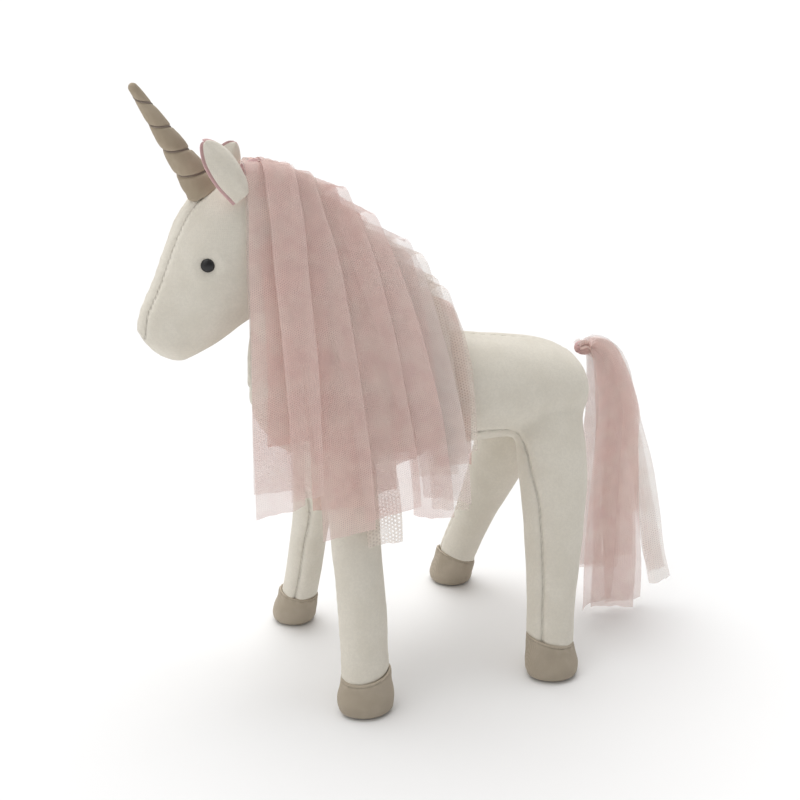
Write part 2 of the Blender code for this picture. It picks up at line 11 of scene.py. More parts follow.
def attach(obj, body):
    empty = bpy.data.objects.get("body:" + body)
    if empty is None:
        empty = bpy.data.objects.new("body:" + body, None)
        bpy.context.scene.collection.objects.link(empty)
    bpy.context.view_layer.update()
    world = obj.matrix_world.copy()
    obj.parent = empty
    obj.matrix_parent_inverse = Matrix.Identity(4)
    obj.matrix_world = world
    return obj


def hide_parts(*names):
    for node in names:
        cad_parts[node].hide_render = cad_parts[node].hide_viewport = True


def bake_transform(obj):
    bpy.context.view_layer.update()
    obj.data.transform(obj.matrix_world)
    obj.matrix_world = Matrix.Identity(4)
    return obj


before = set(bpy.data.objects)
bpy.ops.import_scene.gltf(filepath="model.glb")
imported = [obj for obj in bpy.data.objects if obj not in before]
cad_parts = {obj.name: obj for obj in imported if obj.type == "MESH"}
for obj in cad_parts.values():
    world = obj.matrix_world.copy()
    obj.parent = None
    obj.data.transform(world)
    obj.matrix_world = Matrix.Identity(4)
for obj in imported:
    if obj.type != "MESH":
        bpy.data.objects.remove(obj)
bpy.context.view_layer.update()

VOXEL = 0.0013                 # grid of the skin's union
FINENESS = 2.3                    # smoothing steps grow with the finer grid


# ---- dimensions of the frame, in metres
# Torso: x, underside z, back z, half width
TORSO = np.array((
    (-0.109, 0.168, 0.18, 0.005), (-0.1045, 0.156, 0.191, 0.017), (-0.093, 0.142, 0.199, 0.027),
    (-0.07, 0.1325, 0.2035, 0.0325), (-0.04, 0.13, 0.203, 0.034), (-0.01, 0.13, 0.201, 0.0335),
    (0.02, 0.13, 0.196, 0.0325), (0.05, 0.129, 0.1905, 0.032), (0.075, 0.13, 0.185, 0.03),
    (0.0915, 0.136, 0.1768, 0.0262), (0.0985, 0.148, 0.166, 0.014)))
# Neck and head: throat-side x, z, crest-side x, z, half width
NECK_HEAD = np.array((
    (-0.111, 0.18, 0.005, 0.203, 0.028), (-0.11, 0.196, -0.01, 0.218, 0.027),
    (-0.108, 0.209, -0.03, 0.238, 0.0265), (-0.108, 0.222, -0.05, 0.256, 0.027),
    (-0.112, 0.221, -0.075, 0.284, 0.0285), (-0.118, 0.217, -0.098, 0.301, 0.0295),
    (-0.124, 0.213, -0.125, 0.297, 0.029), (-0.131, 0.209, -0.143, 0.281, 0.027),
    (-0.137, 0.206, -0.153, 0.262, 0.0235), (-0.143, 0.2035, -0.1605, 0.245, 0.0195),
    (-0.149, 0.202, -0.1675, 0.231, 0.016), (-0.1555, 0.2035, -0.1706, 0.2205, 0.011),
    (-0.162, 0.207, -0.169, 0.215, 0.005)))
# Legs: z, x, |y|, half length, half width
LEGS = {
    "front": np.array(((0.148, -0.06, 0.0185, 0.015, 0.0125), (0.1215, -0.0615, 0.0245, 0.015, 0.014),
                       (0.095, -0.062, 0.0325, 0.0138, 0.0136), (0.06, -0.0635, 0.043, 0.0132, 0.0134),
                       (0.035, -0.0648, 0.05, 0.0132, 0.0136), (0.0195, -0.066, 0.0545, 0.0136, 0.0134))),
    "rear": np.array(((0.148, 0.069, 0.018, 0.0228, 0.013), (0.1215, 0.068, 0.0255, 0.022, 0.017),
                      (0.095, 0.0648, 0.035, 0.02, 0.0165), (0.06, 0.0582, 0.048, 0.016, 0.0155),
                      (0.035, 0.0525, 0.057, 0.0141, 0.0142), (0.0195, 0.0495, 0.0625, 0.0134, 0.0136)))}
HOOF_CENTRES = {"front": (-0.0675, 0.0595), "rear": (0.049, 0.068)}
# How the hoof's top edge runs: rise per metre of length, towards the tail
HOOF_TILT = {"front_left": 0.2, "front_right": -0.1, "rear_left": -0.22, "rear_right": -0.38}
HORN_BASE, HORN_TIP = Vector((-0.1325, 0, 0.2925)), Vector((-0.1675, 0, 0.3485))
# Ears: base, tip and the way the back faces
EARS = {"left": ((-0.119, -0.0215, 0.2925), (-0.137, -0.0255, 0.3205), (0.35, -1.0, 0.15)),
        "right": ((-0.1262, 0.0215, 0.2882), (-0.1122, 0.0225, 0.3135), (0.1, -1.0, 0.2))}
TAIL_KNOT = Vector((0.1035, 0, 0.1765))
SIDES = (("left", -1), ("right", 1))
ENDS = ("front", "rear")
# The right legs are a little twisted, so they are narrower from the side towards the hoof
SLIM = {"front_left": 1.0, "front_right": 0.82, "rear_left": 1.0, "rear_right": 0.88}


def leg_rows(end, word):
    rows = LEGS[end].copy()
    low = np.clip((0.115 - rows[:, 0]) / 0.045, 0, 1)
    rows[:, 3] *= 1 - (1 - SLIM[f"{end}_{word}"]) * low
    return rows


# ---- shader helpers
class Graph:
    """A material's node tree with short calls for its nodes."""

    def __init__(self, name):
        self.material = bpy.data.materials.new(name)
        self.material.use_nodes = True
        self.tree = self.material.node_tree
        self.shader = self.tree.nodes["Principled BSDF"]

    def node(self, kind, **values):
        made = self.tree.nodes.new(kind)
        for key, value in values.items():
            setattr(made, key, value)
        return made

    def feed(self, value, socket):
        if isinstance(value, bpy.types.NodeSocket):
            self.tree.links.new(value, socket)
        elif value is not None:
            socket.default_value = value

    def math(self, operation, a, b=None, clamp=False):
        made = self.node("ShaderNodeMath", operation=operation, use_clamp=clamp)
        for value, socket in zip((a, b), made.inputs):
            self.feed(value, socket)
        return made.outputs[0]

    def times(self, a, b):
        return self.math("MULTIPLY", a, b)

    def plus(self, a, b):
        return self.math("ADD", a, b)

    def attribute(self, name, output="Fac"):
        return self.node("ShaderNodeAttribute", attribute_name=name).outputs[output]

    def noise(self, vector, scale, detail=2.0, roughness=0.5):
        made = self.node("ShaderNodeTexNoise")
        self.feed(vector, made.inputs["Vector"])
        self.feed(scale, made.inputs["Scale"])
        self.feed(detail, made.inputs["Detail"])
        self.feed(roughness, made.inputs["Roughness"])
        return made.outputs["Fac"]

    def wave(self, vector, scale, direction="X", distortion=0.0, detail_scale=1.0):
        made = self.node("ShaderNodeTexWave", wave_type="BANDS", bands_direction=direction,
                         wave_profile="SIN")
        self.feed(vector, made.inputs["Vector"])
        self.feed(scale, made.inputs["Scale"])
        self.feed(distortion, made.inputs["Distortion"])
        self.feed(detail_scale, made.inputs["Detail Scale"])
        return made.outputs["Fac"]

    def ramp(self, value, low, high, out_low=0.0, out_high=1.0):
        made = self.node("ShaderNodeMapRange", interpolation_type="SMOOTHSTEP")
        for item, socket in zip((value, low, high, out_low, out_high), made.inputs):
            self.feed(item, socket)
        return made.outputs[0]

    def mix(self, share, a, b):
        made = self.node("ShaderNodeMix", data_type="RGBA")
        self.feed(share, made.inputs[0])
        self.feed(a if isinstance(a, bpy.types.NodeSocket) else (*a, 1.0), made.inputs[6])
        self.feed(b if isinstance(b, bpy.types.NodeSocket) else (*b, 1.0), made.inputs[7])
        return made.outputs[2]

    def bump(self, height, distance, strength=1.0, normal=None):
        made = self.node("ShaderNodeBump")
        self.feed(height, made.inputs["Height"])
        self.feed(distance, made.inputs["Distance"])
        self.feed(strength, made.inputs["Strength"])
        self.feed(normal, made.inputs["Normal"])
        return made.outputs["Normal"]

    def finish(self, colour, roughness, normal=None, sheen=0.0, sheen_tint=None, specular=0.3):
        self.feed(colour if isinstance(colour, bpy.types.NodeSocket) else (*colour, 1.0),
                  self.shader.inputs["Base Color"])
        self.feed(roughness, self.shader.inputs["Roughness"])
        self.feed(normal, self.shader.inputs["Normal"])
        self.shader.inputs["Specular IOR Level"].default_value = specular
        self.shader.inputs["Sheen Weight"].default_value = sheen
        self.shader.inputs["Sheen Roughness"].default_value = 0.45
        if sheen_tint:
            self.shader.inputs["Sheen Tint"].default_value = (*sheen_tint, 1.0)
        return self.material


def knit_material(name, colour, warm, sheen=0.2):
    """Fine jersey knit with a soft nap; a seam is a tight valley with stitches across it, and painted shade
    darkens the colour along it.
    """
    g = Graph(name)
    place = g.attribute("rest", "Vector")
    fuzz = g.noise(place, 1900.0, 2.0, 0.6)
    mottled = g.noise(place, 62.0, 3.0, 0.55)
    wales = g.wave(place, 330.0, "X", 1.2, 2.0)
    courses = g.wave(place, 300.0, "Z", 1.2, 2.0)
    knit = g.times(wales, courses)
    seam = g.attribute("seam")                      # millimetres to the nearest seam
    along = g.attribute("seam_along")
    valley = g.ramp(seam, 0.0, 1.1, 0.0, 1.0)
    stitch = g.math("SINE", g.times(along, 2.6))
    pinch = g.times(g.times(stitch, g.ramp(seam, 0.2, 2.0, 1.0, 0.0)), 0.08)
    height = g.plus(g.times(knit, 0.05), g.times(fuzz, 0.09))
    height = g.plus(height, g.times(valley, 0.9))
    height = g.plus(height, pinch)
    normal = g.bump(height, 0.001, 0.85)
    tone = g.mix(g.ramp(mottled, 0.35, 0.68), colour, warm)
    heather = g.noise(place, 620.0, 2.0, 0.65)
    tone = g.mix(g.times(g.ramp(heather, 0.38, 0.62, 1.0, 0.0), 0.3), tone,
                 tuple(c * 0.84 for c in colour))
    tone = g.mix(g.times(g.ramp(fuzz, 0.35, 0.75, 1.0, 0.0), 0.2), tone,
                 tuple(c * 0.8 for c in colour))
    # painted shade: within about 0.8 mm of a seam the colour is pulled towards a dark warm tone, standing
    # for the shade in the seam's valley
    tone = g.mix(g.ramp(seam, 0.1, 0.8, 0.26, 0.0), tone, tuple(c * 0.55 for c in warm))
    return g.finish(tone, 0.92, normal, sheen, (1.0, 0.98, 0.95), 0.2)


def cloth_material(name, colour, light, sheen=0.15, thread=620.0):
    """Plain-woven cloth, brushed, with slub, and lighter in colour where the surface is sharply convex."""
    g = Graph(name)
    place = g.attribute("rest", "Vector")
    weft = g.wave(place, thread, "Z", 2.0, 3.0)
    warp = g.wave(place, thread, "X", 2.0, 3.0)
    slub = g.noise(place, 260.0, 3.0, 0.6)
    blotch = g.noise(place, 55.0, 3.0, 0.5)
    fuzz = g.noise(place, 2200.0, 2.0, 0.6)
    weave = g.times(weft, warp)
    height = g.plus(g.times(weave, 0.22), g.times(fuzz, 0.18))
    height = g.plus(height, g.times(slub, 0.25))
    row = g.ramp(g.math("ABSOLUTE", g.attribute("stitch")), 0.15, 0.45, 1.0, 0.0)
    dash = g.ramp(g.math("SINE", g.times(g.attribute("around"), 3.0)), -0.2, 0.2)
    sewn = g.times(g.times(row, dash), g.ramp(g.attribute("around"), 0.0001, 0.001))
    height = g.math("SUBTRACT", height, g.times(sewn, 0.8))
    convexity = g.node("ShaderNodeNewGeometry").outputs["Pointiness"]
    tone = g.mix(g.ramp(blotch, 0.35, 0.68), colour, light)
    tone = g.mix(g.times(g.ramp(weave, 0.0, 0.5, 1.0, 0.0), 0.3), tone,
                 tuple(c * 0.62 for c in colour))
    # lighter colour where the surface is sharply convex, from the mesh's pointiness
    tone = g.mix(g.ramp(convexity, 0.5, 0.56, 0.0, 0.3), tone, tuple(min(1.0, c * 1.25) for c in light))
    tone = g.mix(g.times(sewn, 0.5), tone, tuple(c * 0.55 for c in colour))
    return g.finish(tone, 0.88, g.bump(height, 0.0007, 0.8), sheen, (1.0, 0.95, 0.9), 0.2)


def tulle_material(name, colour, edge, cell, cover, net, sheen=0.3):
    """Sheer net. cell is the width of a mesh in millimetres, cover how much the cloth hides, and net how far
    the holes show against the threads; the cloth's flat coordinates are in millimetres."""
    g = Graph(name)
    flat = g.node("ShaderNodeUVMap", uv_map="flat").outputs[0]
    split = g.node("ShaderNodeSeparateXYZ")
    g.feed(flat, split.inputs[0])
    pull = g.noise(flat, 0.12, 2.0)
    u = g.plus(split.outputs[0], g.times(pull, 1.6))
    v = g.plus(split.outputs[1], g.times(pull, 2.2))
    pitch = 4 * pi / (sqrt(3) * cell)
    waves = None
    for turn in range(3):
        angle = turn * 2 * pi / 3
        phase = g.plus(g.times(u, pitch * cos(angle)),
                       g.times(v, pitch * sin(angle)))
        wave = g.math("COSINE", phase)
        waves = wave if waves is None else g.plus(waves, wave)
    holes = g.ramp(waves, -0.4, 1.6)
    showing = g.times(g.ramp(g.noise(flat, 0.045, 2.0), 0.4, 0.6, 0.25, 1.0), net)
    alpha = g.math("SUBTRACT", cover, g.times(g.math("SUBTRACT", holes, 0.35), showing))
    alpha = g.math("MULTIPLY", alpha, g.ramp(g.noise(flat, 0.06, 2.0), 0.3, 0.7, 0.9, 1.05), clamp=True)
    tone = g.mix(g.ramp(g.noise(flat, 0.07, 3.0), 0.35, 0.65), colour, edge)
    tone = g.mix(g.times(holes, 0.16), tone, tuple(c * 0.85 for c in colour))
    g.feed(alpha, g.shader.inputs["Alpha"])
    normal = g.bump(waves, 0.0002, 0.4)
    return g.finish(tone, 0.7, normal, sheen, (1.0, 0.93, 0.9), 0.2)


WHITE_KNIT = (0.79, 0.745, 0.655)
WARM_KNIT = (0.745, 0.698, 0.605)
knit = knit_material("knit_off_white", WHITE_KNIT, WARM_KNIT)
hoof_cloth = cloth_material("cloth_taupe_hoof", (0.45, 0.385, 0.3), (0.52, 0.45, 0.36))
horn_cloth = cloth_material("cloth_taupe_horn", (0.43, 0.352, 0.258), (0.52, 0.435, 0.33), 0.2, 700.0)
ear_pink = cloth_material("cloth_ear_pink", (0.64, 0.4, 0.4), (0.7, 0.47, 0.465), 0.2, 800.0)
TULLES = {
    "rose": tulle_material("tulle_rose", (0.86, 0.56, 0.5), (0.89, 0.63, 0.56), 1.2, 0.72, 0.14),
    "pink": tulle_material("tulle_pink", (0.88, 0.64, 0.59), (0.91, 0.71, 0.65), 1.2, 0.56, 0.16),
    "blush": tulle_material("tulle_blush", (0.9, 0.75, 0.71), (0.92, 0.8, 0.76), 1.2, 0.48, 0.12),
    "net": tulle_material("tulle_coarse_net", (0.77, 0.64, 0.56), (0.81, 0.7, 0.62), 2.2, 0.52, 0.5),
    "champagne": tulle_material("tulle_champagne", (0.83, 0.7, 0.62), (0.86, 0.76, 0.69), 1.6, 0.46,
                                0.22),
}


def thread_material(name, colour):
    g = Graph(name)
    place = g.attribute("rest", "Vector")
    strand = g.wave(place, 900.0, "DIAGONAL", 1.0)
    tone = g.mix(strand, tuple(c * 0.7 for c in colour), colour)
    return g.finish(tone, 0.6, g.bump(strand, 0.0002, 0.6), 0.2)


horn_thread_look = thread_material("thread_taupe", (0.3, 0.24, 0.2))


def bead_material():
    g = Graph("bead_black")
    place = g.attribute("rest", "Vector")
    haze = g.noise(place, 700.0, 3.0)
    return g.finish(g.mix(haze, (0.006, 0.006, 0.007), (0.014, 0.013, 0.013)),
                    g.ramp(haze, 0.3, 0.7, 0.3, 0.42), g.bump(haze, 0.0001, 0.3), 0.0, None, 0.5)


bead_look = bead_material()


# ---- mesh helpers
def smooth_rows(rows, per):
    """Catmull-Rom through the rows, per steps to each interval."""
    rows = np.asarray(rows, float)
    ends = np.vstack([2 * rows[0] - rows[1], rows, 2 * rows[-1] - rows[-2]])
    made = []
    for a, b, c, d in zip(ends, ends[1:], ends[2:], ends[3:]):
        for t in np.arange(per) / per:
            made.append(0.5 * (2 * b + (c - a) * t + (2 * a - 5 * b + 4 * c - d) * t ** 2
                               + (3 * b - a - 3 * c + d) * t ** 3))
    made.append(rows[-1])
    return np.array(made)


def middle_rings(low, high, width, count):
    """Elliptical rings across the plane of symmetry, from low and high points (x, z) and half widths."""
    angle = np.linspace(0, 2 * pi, count, endpoint=False)
    centre, half = (low + high) / 2, (high - low) / 2
    rings = np.zeros((len(low), count, 3))
    rings[:, :, 0] = centre[:, :1] - half[:, :1] * np.cos(angle)
    rings[:, :, 2] = centre[:, 1:] - half[:, 1:] * np.cos(angle)
    rings[:, :, 1] = -width[:, None] * np.sin(angle)
    return rings


def level_rings(rows, side, count):
    angle = np.linspace(0, 2 * pi, count, endpoint=False)
    rings = np.zeros((len(rows), count, 3))
    rings[:, :, 0] = rows[:, 1:2] - rows[:, 3:4] * np.sin(angle)
    rings[:, :, 1] = side * (rows[:, 2:3] + rows[:, 4:5] * np.cos(angle))
    rings[:, :, 2] = rows[:, 0:1]
    return rings


def tube_faces(rows, count, start=0, closed=True):
    """Quads of a grid of rows, wrapped round if closed."""
    faces = []
    across = count if closed else count - 1
    for i in range(rows - 1):
        for k in range(across):
            a, b = start + i * count + k, start + i * count + (k + 1) % count
            faces.append((a, b, b + count, a + count))
    return faces


def turned_to(axis, place):
    """The matrix that lays +Z along the axis, at the place."""
    return Matrix.Translation(place) @ axis.to_track_quat("Z", "Y").to_matrix().to_4x4()


def mesh_of(name, points, faces):
    mesh = bpy.data.meshes.new(name)
    mesh.from_pydata([tuple(p) for p in points], [], faces)
    mesh.update()
    return mesh


def outward(mesh):
    bm = bmesh.new()
    bm.from_mesh(mesh)
    bmesh.ops.recalc_face_normals(bm, faces=bm.faces)
    bm.to_mesh(mesh)
    bm.free()
    return mesh


def closed_loft(name, rings):
    rows, count, _ = rings.shape
    faces = tube_faces(rows, count)
    faces += [tuple(range(count))[::-1], tuple(range((rows - 1) * count, rows * count))]
    return outward(mesh_of(name, rings.reshape(-1, 3), faces))


def coords(mesh):
    co = np.empty(len(mesh.vertices) * 3, np.float32)
    mesh.vertices.foreach_get("co", co)
    return co.reshape(-1, 3).astype(float)


def set_coords(mesh, co):
    mesh.vertices.foreach_set("co", np.asarray(co, np.float32).ravel())
    mesh.update()


def normals_of(mesh):
    no = np.empty(len(mesh.vertices) * 3, np.float32)
    mesh.vertex_normals.foreach_get("vector", no)
    return no.reshape(-1, 3).astype(float)


def keep_rest(mesh):
    """The resting place of every point, so that a pattern doesn't slide when the piece bends."""
    rest = mesh.attributes.new("rest", "FLOAT_VECTOR", "POINT")
    rest.data.foreach_set("vector", np.asarray(coords(mesh), np.float32).ravel())


def keep_value(mesh, name, values):
    made = mesh.attributes.new(name, "FLOAT", "POINT")
    made.data.foreach_set("value", np.asarray(values, np.float32))


def linked(name, data):
    obj = bpy.data.objects.new(name, data)
    bpy.context.scene.collection.objects.link(obj)
    return obj


def piece(name, mesh, look, body, slot, replaced=None):
    """The object of a mesh, which rides on the body if one is given. It stands for the nodes in replaced,
    or for the slot's node if there is no such list."""
    obj = linked(name, mesh)
    mesh.materials.append(look)
    mesh.shade_smooth()
    keep_rest(mesh)
    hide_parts(*(replaced or [slot]))
    if body:
        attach(obj, body)
    return obj


def applied(obj):
    """The object's mesh with its modifiers applied."""
    bpy.context.view_layer.update()
    graph = bpy.context.evaluated_depsgraph_get()
    mesh = bpy.data.meshes.new_from_object(obj.evaluated_get(graph))
    old = obj.data
    obj.modifiers.clear()
    obj.data = mesh
    bpy.data.meshes.remove(old)
    return obj


def bumps(co, scale, amount, seed=0.0):
    """Smooth lumps: one noise value for each point."""
    values = np.empty(len(co))
    for i, p in enumerate(co):
        values[i] = noise.noise(Vector((p[0] * scale + seed, p[1] * scale - seed, p[2] * scale + 2 * seed)))
    return values * amount


def relax(co, edges, weight, times, full=True):
    """Smooths. With full the form doesn't shrink: a slightly longer step out follows each step in."""
    a, b = edges[:, 0], edges[:, 1]
    count = np.bincount(np.concatenate([a, b]), minlength=len(co))[:, None]
    for turn in range(2 * times if full else times):
        total = np.empty_like(co)
        for axis in range(3):
            total[:, axis] = (np.bincount(a, co[b, axis], len(co)) + np.bincount(b, co[a, axis], len(co)))
        step = weight[:, None] * (-1.02 if full and turn % 2 else 1.0)
        co = co + step * (total / count - co)
    return co


# ---- the stuffed body: one skin, cut into its panels
def body_skin():
    lofts = []
    torso = smooth_rows(TORSO, 5)
    lofts.append(closed_loft("torso", middle_rings(torso[:, [0, 1]], torso[:, [0, 2]], torso[:, 3], 72)))
    neck = smooth_rows(NECK_HEAD, 5)
    lofts.append(closed_loft("neck", middle_rings(neck[:, [0, 1]], neck[:, [2, 3]], neck[:, 4], 72)))
    for end in ENDS:
        for word, side in SIDES:
            rows = smooth_rows(leg_rows(end, word), 6)
            foot = rows[-1].copy()
            foot[0] = 0.0125
            rows = np.vstack([rows, foot])
            lofts.append(closed_loft("leg", level_rings(rows, side, 48)))
    bm = bmesh.new()
    for mesh in lofts:
        bm.from_mesh(mesh)
    joined = bpy.data.meshes.new("skin")
    bm.to_mesh(joined)
    bm.free()
    obj = linked("skin", joined)
    remesh = obj.modifiers.new("union", "REMESH")
    remesh.mode = "VOXEL"
    remesh.voxel_size = VOXEL
    applied(obj)
    return obj


def tree_of(mesh, co):
    return BVHTree.FromPolygons([Vector(p) for p in co], [tuple(f.vertices) for f in mesh.polygons])


def falloff(co, centre, radius):
    away = np.linalg.norm(co - np.array(centre), axis=1) / radius
    return np.clip(1.25 - away, 0, 1) ** 1.5


def rounded_joins(mesh):
    """The skin's points once the joins between the stuffed tubes are filled out."""
    edges = np.empty(len(mesh.edges) * 2, np.int32)
    mesh.edges.foreach_get("vertices", edges)
    edges = edges.reshape(-1, 2)
    co = coords(mesh)
    co = relax(co, edges, np.full(len(co), 0.5), 4)
    junction = np.zeros(len(co))
    for _, side in SIDES:
        junction = np.maximum(junction, falloff(co, (-0.061, side * 0.026, 0.134), 0.024))
        junction = np.maximum(junction, falloff(co, (0.067, side * 0.026, 0.136), 0.027))
    for x, z, radius in ((-0.108, 0.188, 0.024), (0.004, 0.203, 0.024), (-0.055, 0.192, 0.04)):
        junction = np.maximum(junction, falloff(co * (1, 0.6, 1), (x, 0, z), radius))
    co = relax(co, edges, junction * 0.55, int(20 * FINENESS))
    crease = np.zeros(len(co))
    for _, side in SIDES:
        for x, y, z, radius in ((0.088, 0.024, 0.137, 0.02), (0.064, 0.034, 0.14, 0.02),
                                (0.046, 0.022, 0.131, 0.02), (-0.061, 0.034, 0.138, 0.018),
                                (-0.078, 0.024, 0.135, 0.014), (-0.045, 0.024, 0.132, 0.014)):
            crease = np.maximum(crease, falloff(co, (x, side * y, z), radius))
    return relax(co, edges, crease * 0.5, int(22 * FINENESS), False)


skin = body_skin()
skin_mesh = skin.data
co = rounded_joins(skin_mesh)
set_coords(skin_mesh, co)
skin_tree = tree_of(skin_mesh, co)


# ---- seams, as lines on the skin
BELLY = radians(52)        # how far up from the middle of the belly its gusset reaches
GUSSET_HALF = 0.0065            # half the width of the strip over the face and forehead
# How far round to the outer side each leg's front seam lies, in degrees
SEAM_TURN = {"front_left": -35, "front_right": -55, "rear_left": 40, "rear_right": 30}


def section_angle(low, high, width, angle):
    """A point on a middle section at that angle from its low side, towards the left."""
    low, high = np.array(low), np.array(high)
    centre, half = (low + high) / 2, (high - low) / 2
    flat = centre - half * cos(angle)
    return Vector((flat[0], -width * sin(angle), flat[1]))


def on_skin(point):
    return skin_tree.find_nearest(point)[0]


def seam_line(points):
    """A smooth line through the points, laid on the skin."""
    fine = smooth_rows([tuple(p) for p in points], 14)
    return [on_skin(Vector(p)) for p in fine]


def middle_seams():
    back = [section_angle((r[0], r[1]), (r[0], r[2]), r[3], pi) for r in TORSO[5:]]
    throat = ((-0.109, 0.166), (-0.112, 0.18), (-0.1108, 0.196), (-0.1085, 0.209), (-0.108, 0.22),
              (-0.118, 0.2165), (-0.131, 0.209), (-0.143, 0.2035), (-0.153, 0.202), (-0.162, 0.207))
    crest_line = [Vector((r[2], 0, r[3])) for r in NECK_HEAD[:6]]
    return [seam_line(back + [Vector((0.099, 0, 0.157))]),
            seam_line([Vector((x, 0, z)) for x, z in throat]), seam_line(crest_line)]


def side_seams(word, side):
    """The face strip's edge, then the lines down and up the legs, with the belly's edge between them."""
    flip = Vector((1, -side, 1))

    def at(x, y, z):
        return Vector((x, side * y, z))

    def leg_seam(rows, forward, outward=0.0):
        turned = radians(outward)
        ahead, aside = forward * cos(turned), sin(turned)
        return [at(r[1] - ahead * r[3], r[2] + aside * r[4], r[0]) for r in rows[2:]]

    face = []
    for r in NECK_HEAD[5:-1]:
        lean = asin(min(0.9, GUSSET_HALF / r[4]))
        face.append(section_angle((r[0], r[1]), (r[2], r[3]), r[4], pi - lean) * flip)
    face.append(Vector((-0.169, 0, 0.215)))
    belly = [section_angle((r[0], r[1]), (r[0], r[2]), r[3], BELLY) * flip for r in TORSO]
    front, rear = LEGS["front"], LEGS["rear"]
    chest = [at(-0.109, 0.004, 0.17), belly[1], belly[2], at(-0.08, 0.026, 0.136)]
    waist = [at(-0.044, 0.028, 0.134), *belly[5:7], at(0.033, 0.029, 0.137), at(0.044, 0.033, 0.127),
             at(0.049, 0.037, 0.113)]
    rump = [at(0.0985, 0.003, 0.16), at(0.095, 0.016, 0.146), at(0.0905, 0.024, 0.128)]
    return [seam_line(face), seam_line(chest + leg_seam(front, 1, SEAM_TURN[f"front_{word}"])),
            seam_line(leg_seam(front, -1)[::-1] + waist[:3]),
            seam_line(waist[2:] + leg_seam(rear, 1, SEAM_TURN[f"rear_{word}"])),
            seam_line(rump + leg_seam(rear, -1))]


def seam_distances(co, normal, seams):
    """Millimetres from each point to the nearest seam, over the skin, and along that seam."""
    points, tangents, lengths = [], [], []
    for line in seams:
        travelled = 0.0
        for i, p in enumerate(line):
            a, b = line[max(0, i - 1)], line[min(len(line) - 1, i + 1)]
            points.append(p)
            tangents.append((b - a).normalized())
            lengths.append(travelled)
            if i + 1 < len(line):
                travelled += (line[i + 1] - p).length
    tree = KDTree(len(points))
    for i, p in enumerate(points):
        tree.insert(p, i)
    tree.balance()
    away, along = np.empty(len(co)), np.empty(len(co))
    for i in range(len(co)):
        p, n = Vector(co[i]), Vector(normal[i])
        _, index, _ = tree.find(p)
        gap, tangent = p - points[index], tangents[index]
        run = gap.dot(tangent)
        gap -= tangent * run
        gap -= n * gap.dot(n)
        away[i] = gap.length * 1000
        along[i] = (lengths[index] + run) * 1000
    return away, along


def eye_spot(side):
    """The place of an eye before it is laid on the skin."""
    row = NECK_HEAD[7]
    spot = section_angle((row[0], row[1]), (row[2], row[3]), row[4], radians(110))
    return Vector((spot.x, side * abs(spot.y), spot.z))


def stuffed(co, normal):
    """The filling's slight lumps, the pull of the seams and the dimples round the eyes."""
    push = bumps(co, 26.0, 0.0009, 3.1) + bumps(co, 70.0, 0.00035, 7.7)
    push -= 0.0009 * np.exp(-(seam_away / 1.4) ** 2) - 0.0004 * np.exp(-((seam_away - 4.5) / 2.6) ** 2)
    push += 0.00022 * np.sin(seam_along * 0.9) * np.exp(-((seam_away - 2.2) / 1.6) ** 2)
    for _, side in SIDES:
        away = np.linalg.norm(co - np.array(on_skin(eye_spot(side))), axis=1)
        push -= 0.0018 * np.exp(-(away / 0.0046) ** 2)
        push += 0.0005 * np.exp(-((away - 0.0085) / 0.003) ** 2)
    return co + normal * push[:, None]


def tucked(co):
    """The ends of the legs drawn in where the hooves cover them."""
    for end in ENDS:
        ankle = LEGS[end][-1]
        for word, side in SIDES:
            spot = np.array((ankle[1], side * ankle[2]))
            near = (co[:, 2] < 0.03) & (np.linalg.norm(co[:, :2] - spot, axis=1) < 0.03)
            edge_height = 0.0202 + HOOF_TILT[f"{end}_{word}"] * (co[:, 0] - ankle[1])
            tuck = near * np.clip((edge_height + 0.0012 - co[:, 2]) / 0.0022, 0, 1) * 0.12
            co[:, :2] += (spot - co[:, :2]) * tuck[:, None]
    return co


seams = middle_seams()
for word, side in SIDES:
    seams += side_seams(word, side)
normal = normals_of(skin_mesh)
seam_away, seam_along = seam_distances(co, normal, seams)
co = tucked(stuffed(co, normal))
set_coords(skin_mesh, co)
normal = normals_of(skin_mesh)
skin_tree = tree_of(skin_mesh, co)


# ---- the skin cut into its panels
def cut_plane(a, b):
    """The middle and the upward normal of a cut through two points (x, z)."""
    a, b = np.array(a), np.array(b)
    return (a + b) / 2, np.array((-(b - a)[1], (b - a)[0])) / np.linalg.norm(b - a)


BASE_CENTRE, BASE_UP = cut_plane((-0.111, 0.18), (0.005, 0.203))
MID_CENTRE, MID_UP = cut_plane((-0.1085, 0.2045), (-0.022, 0.23))
LEG_TOP, LEG_LOW = 0.131, 0.103                     # the leg panels reach up to the first of these heights
FACE_POINT, FACE_WAY = np.array((-0.118, 0.217)), np.array((-0.9, 0.436))


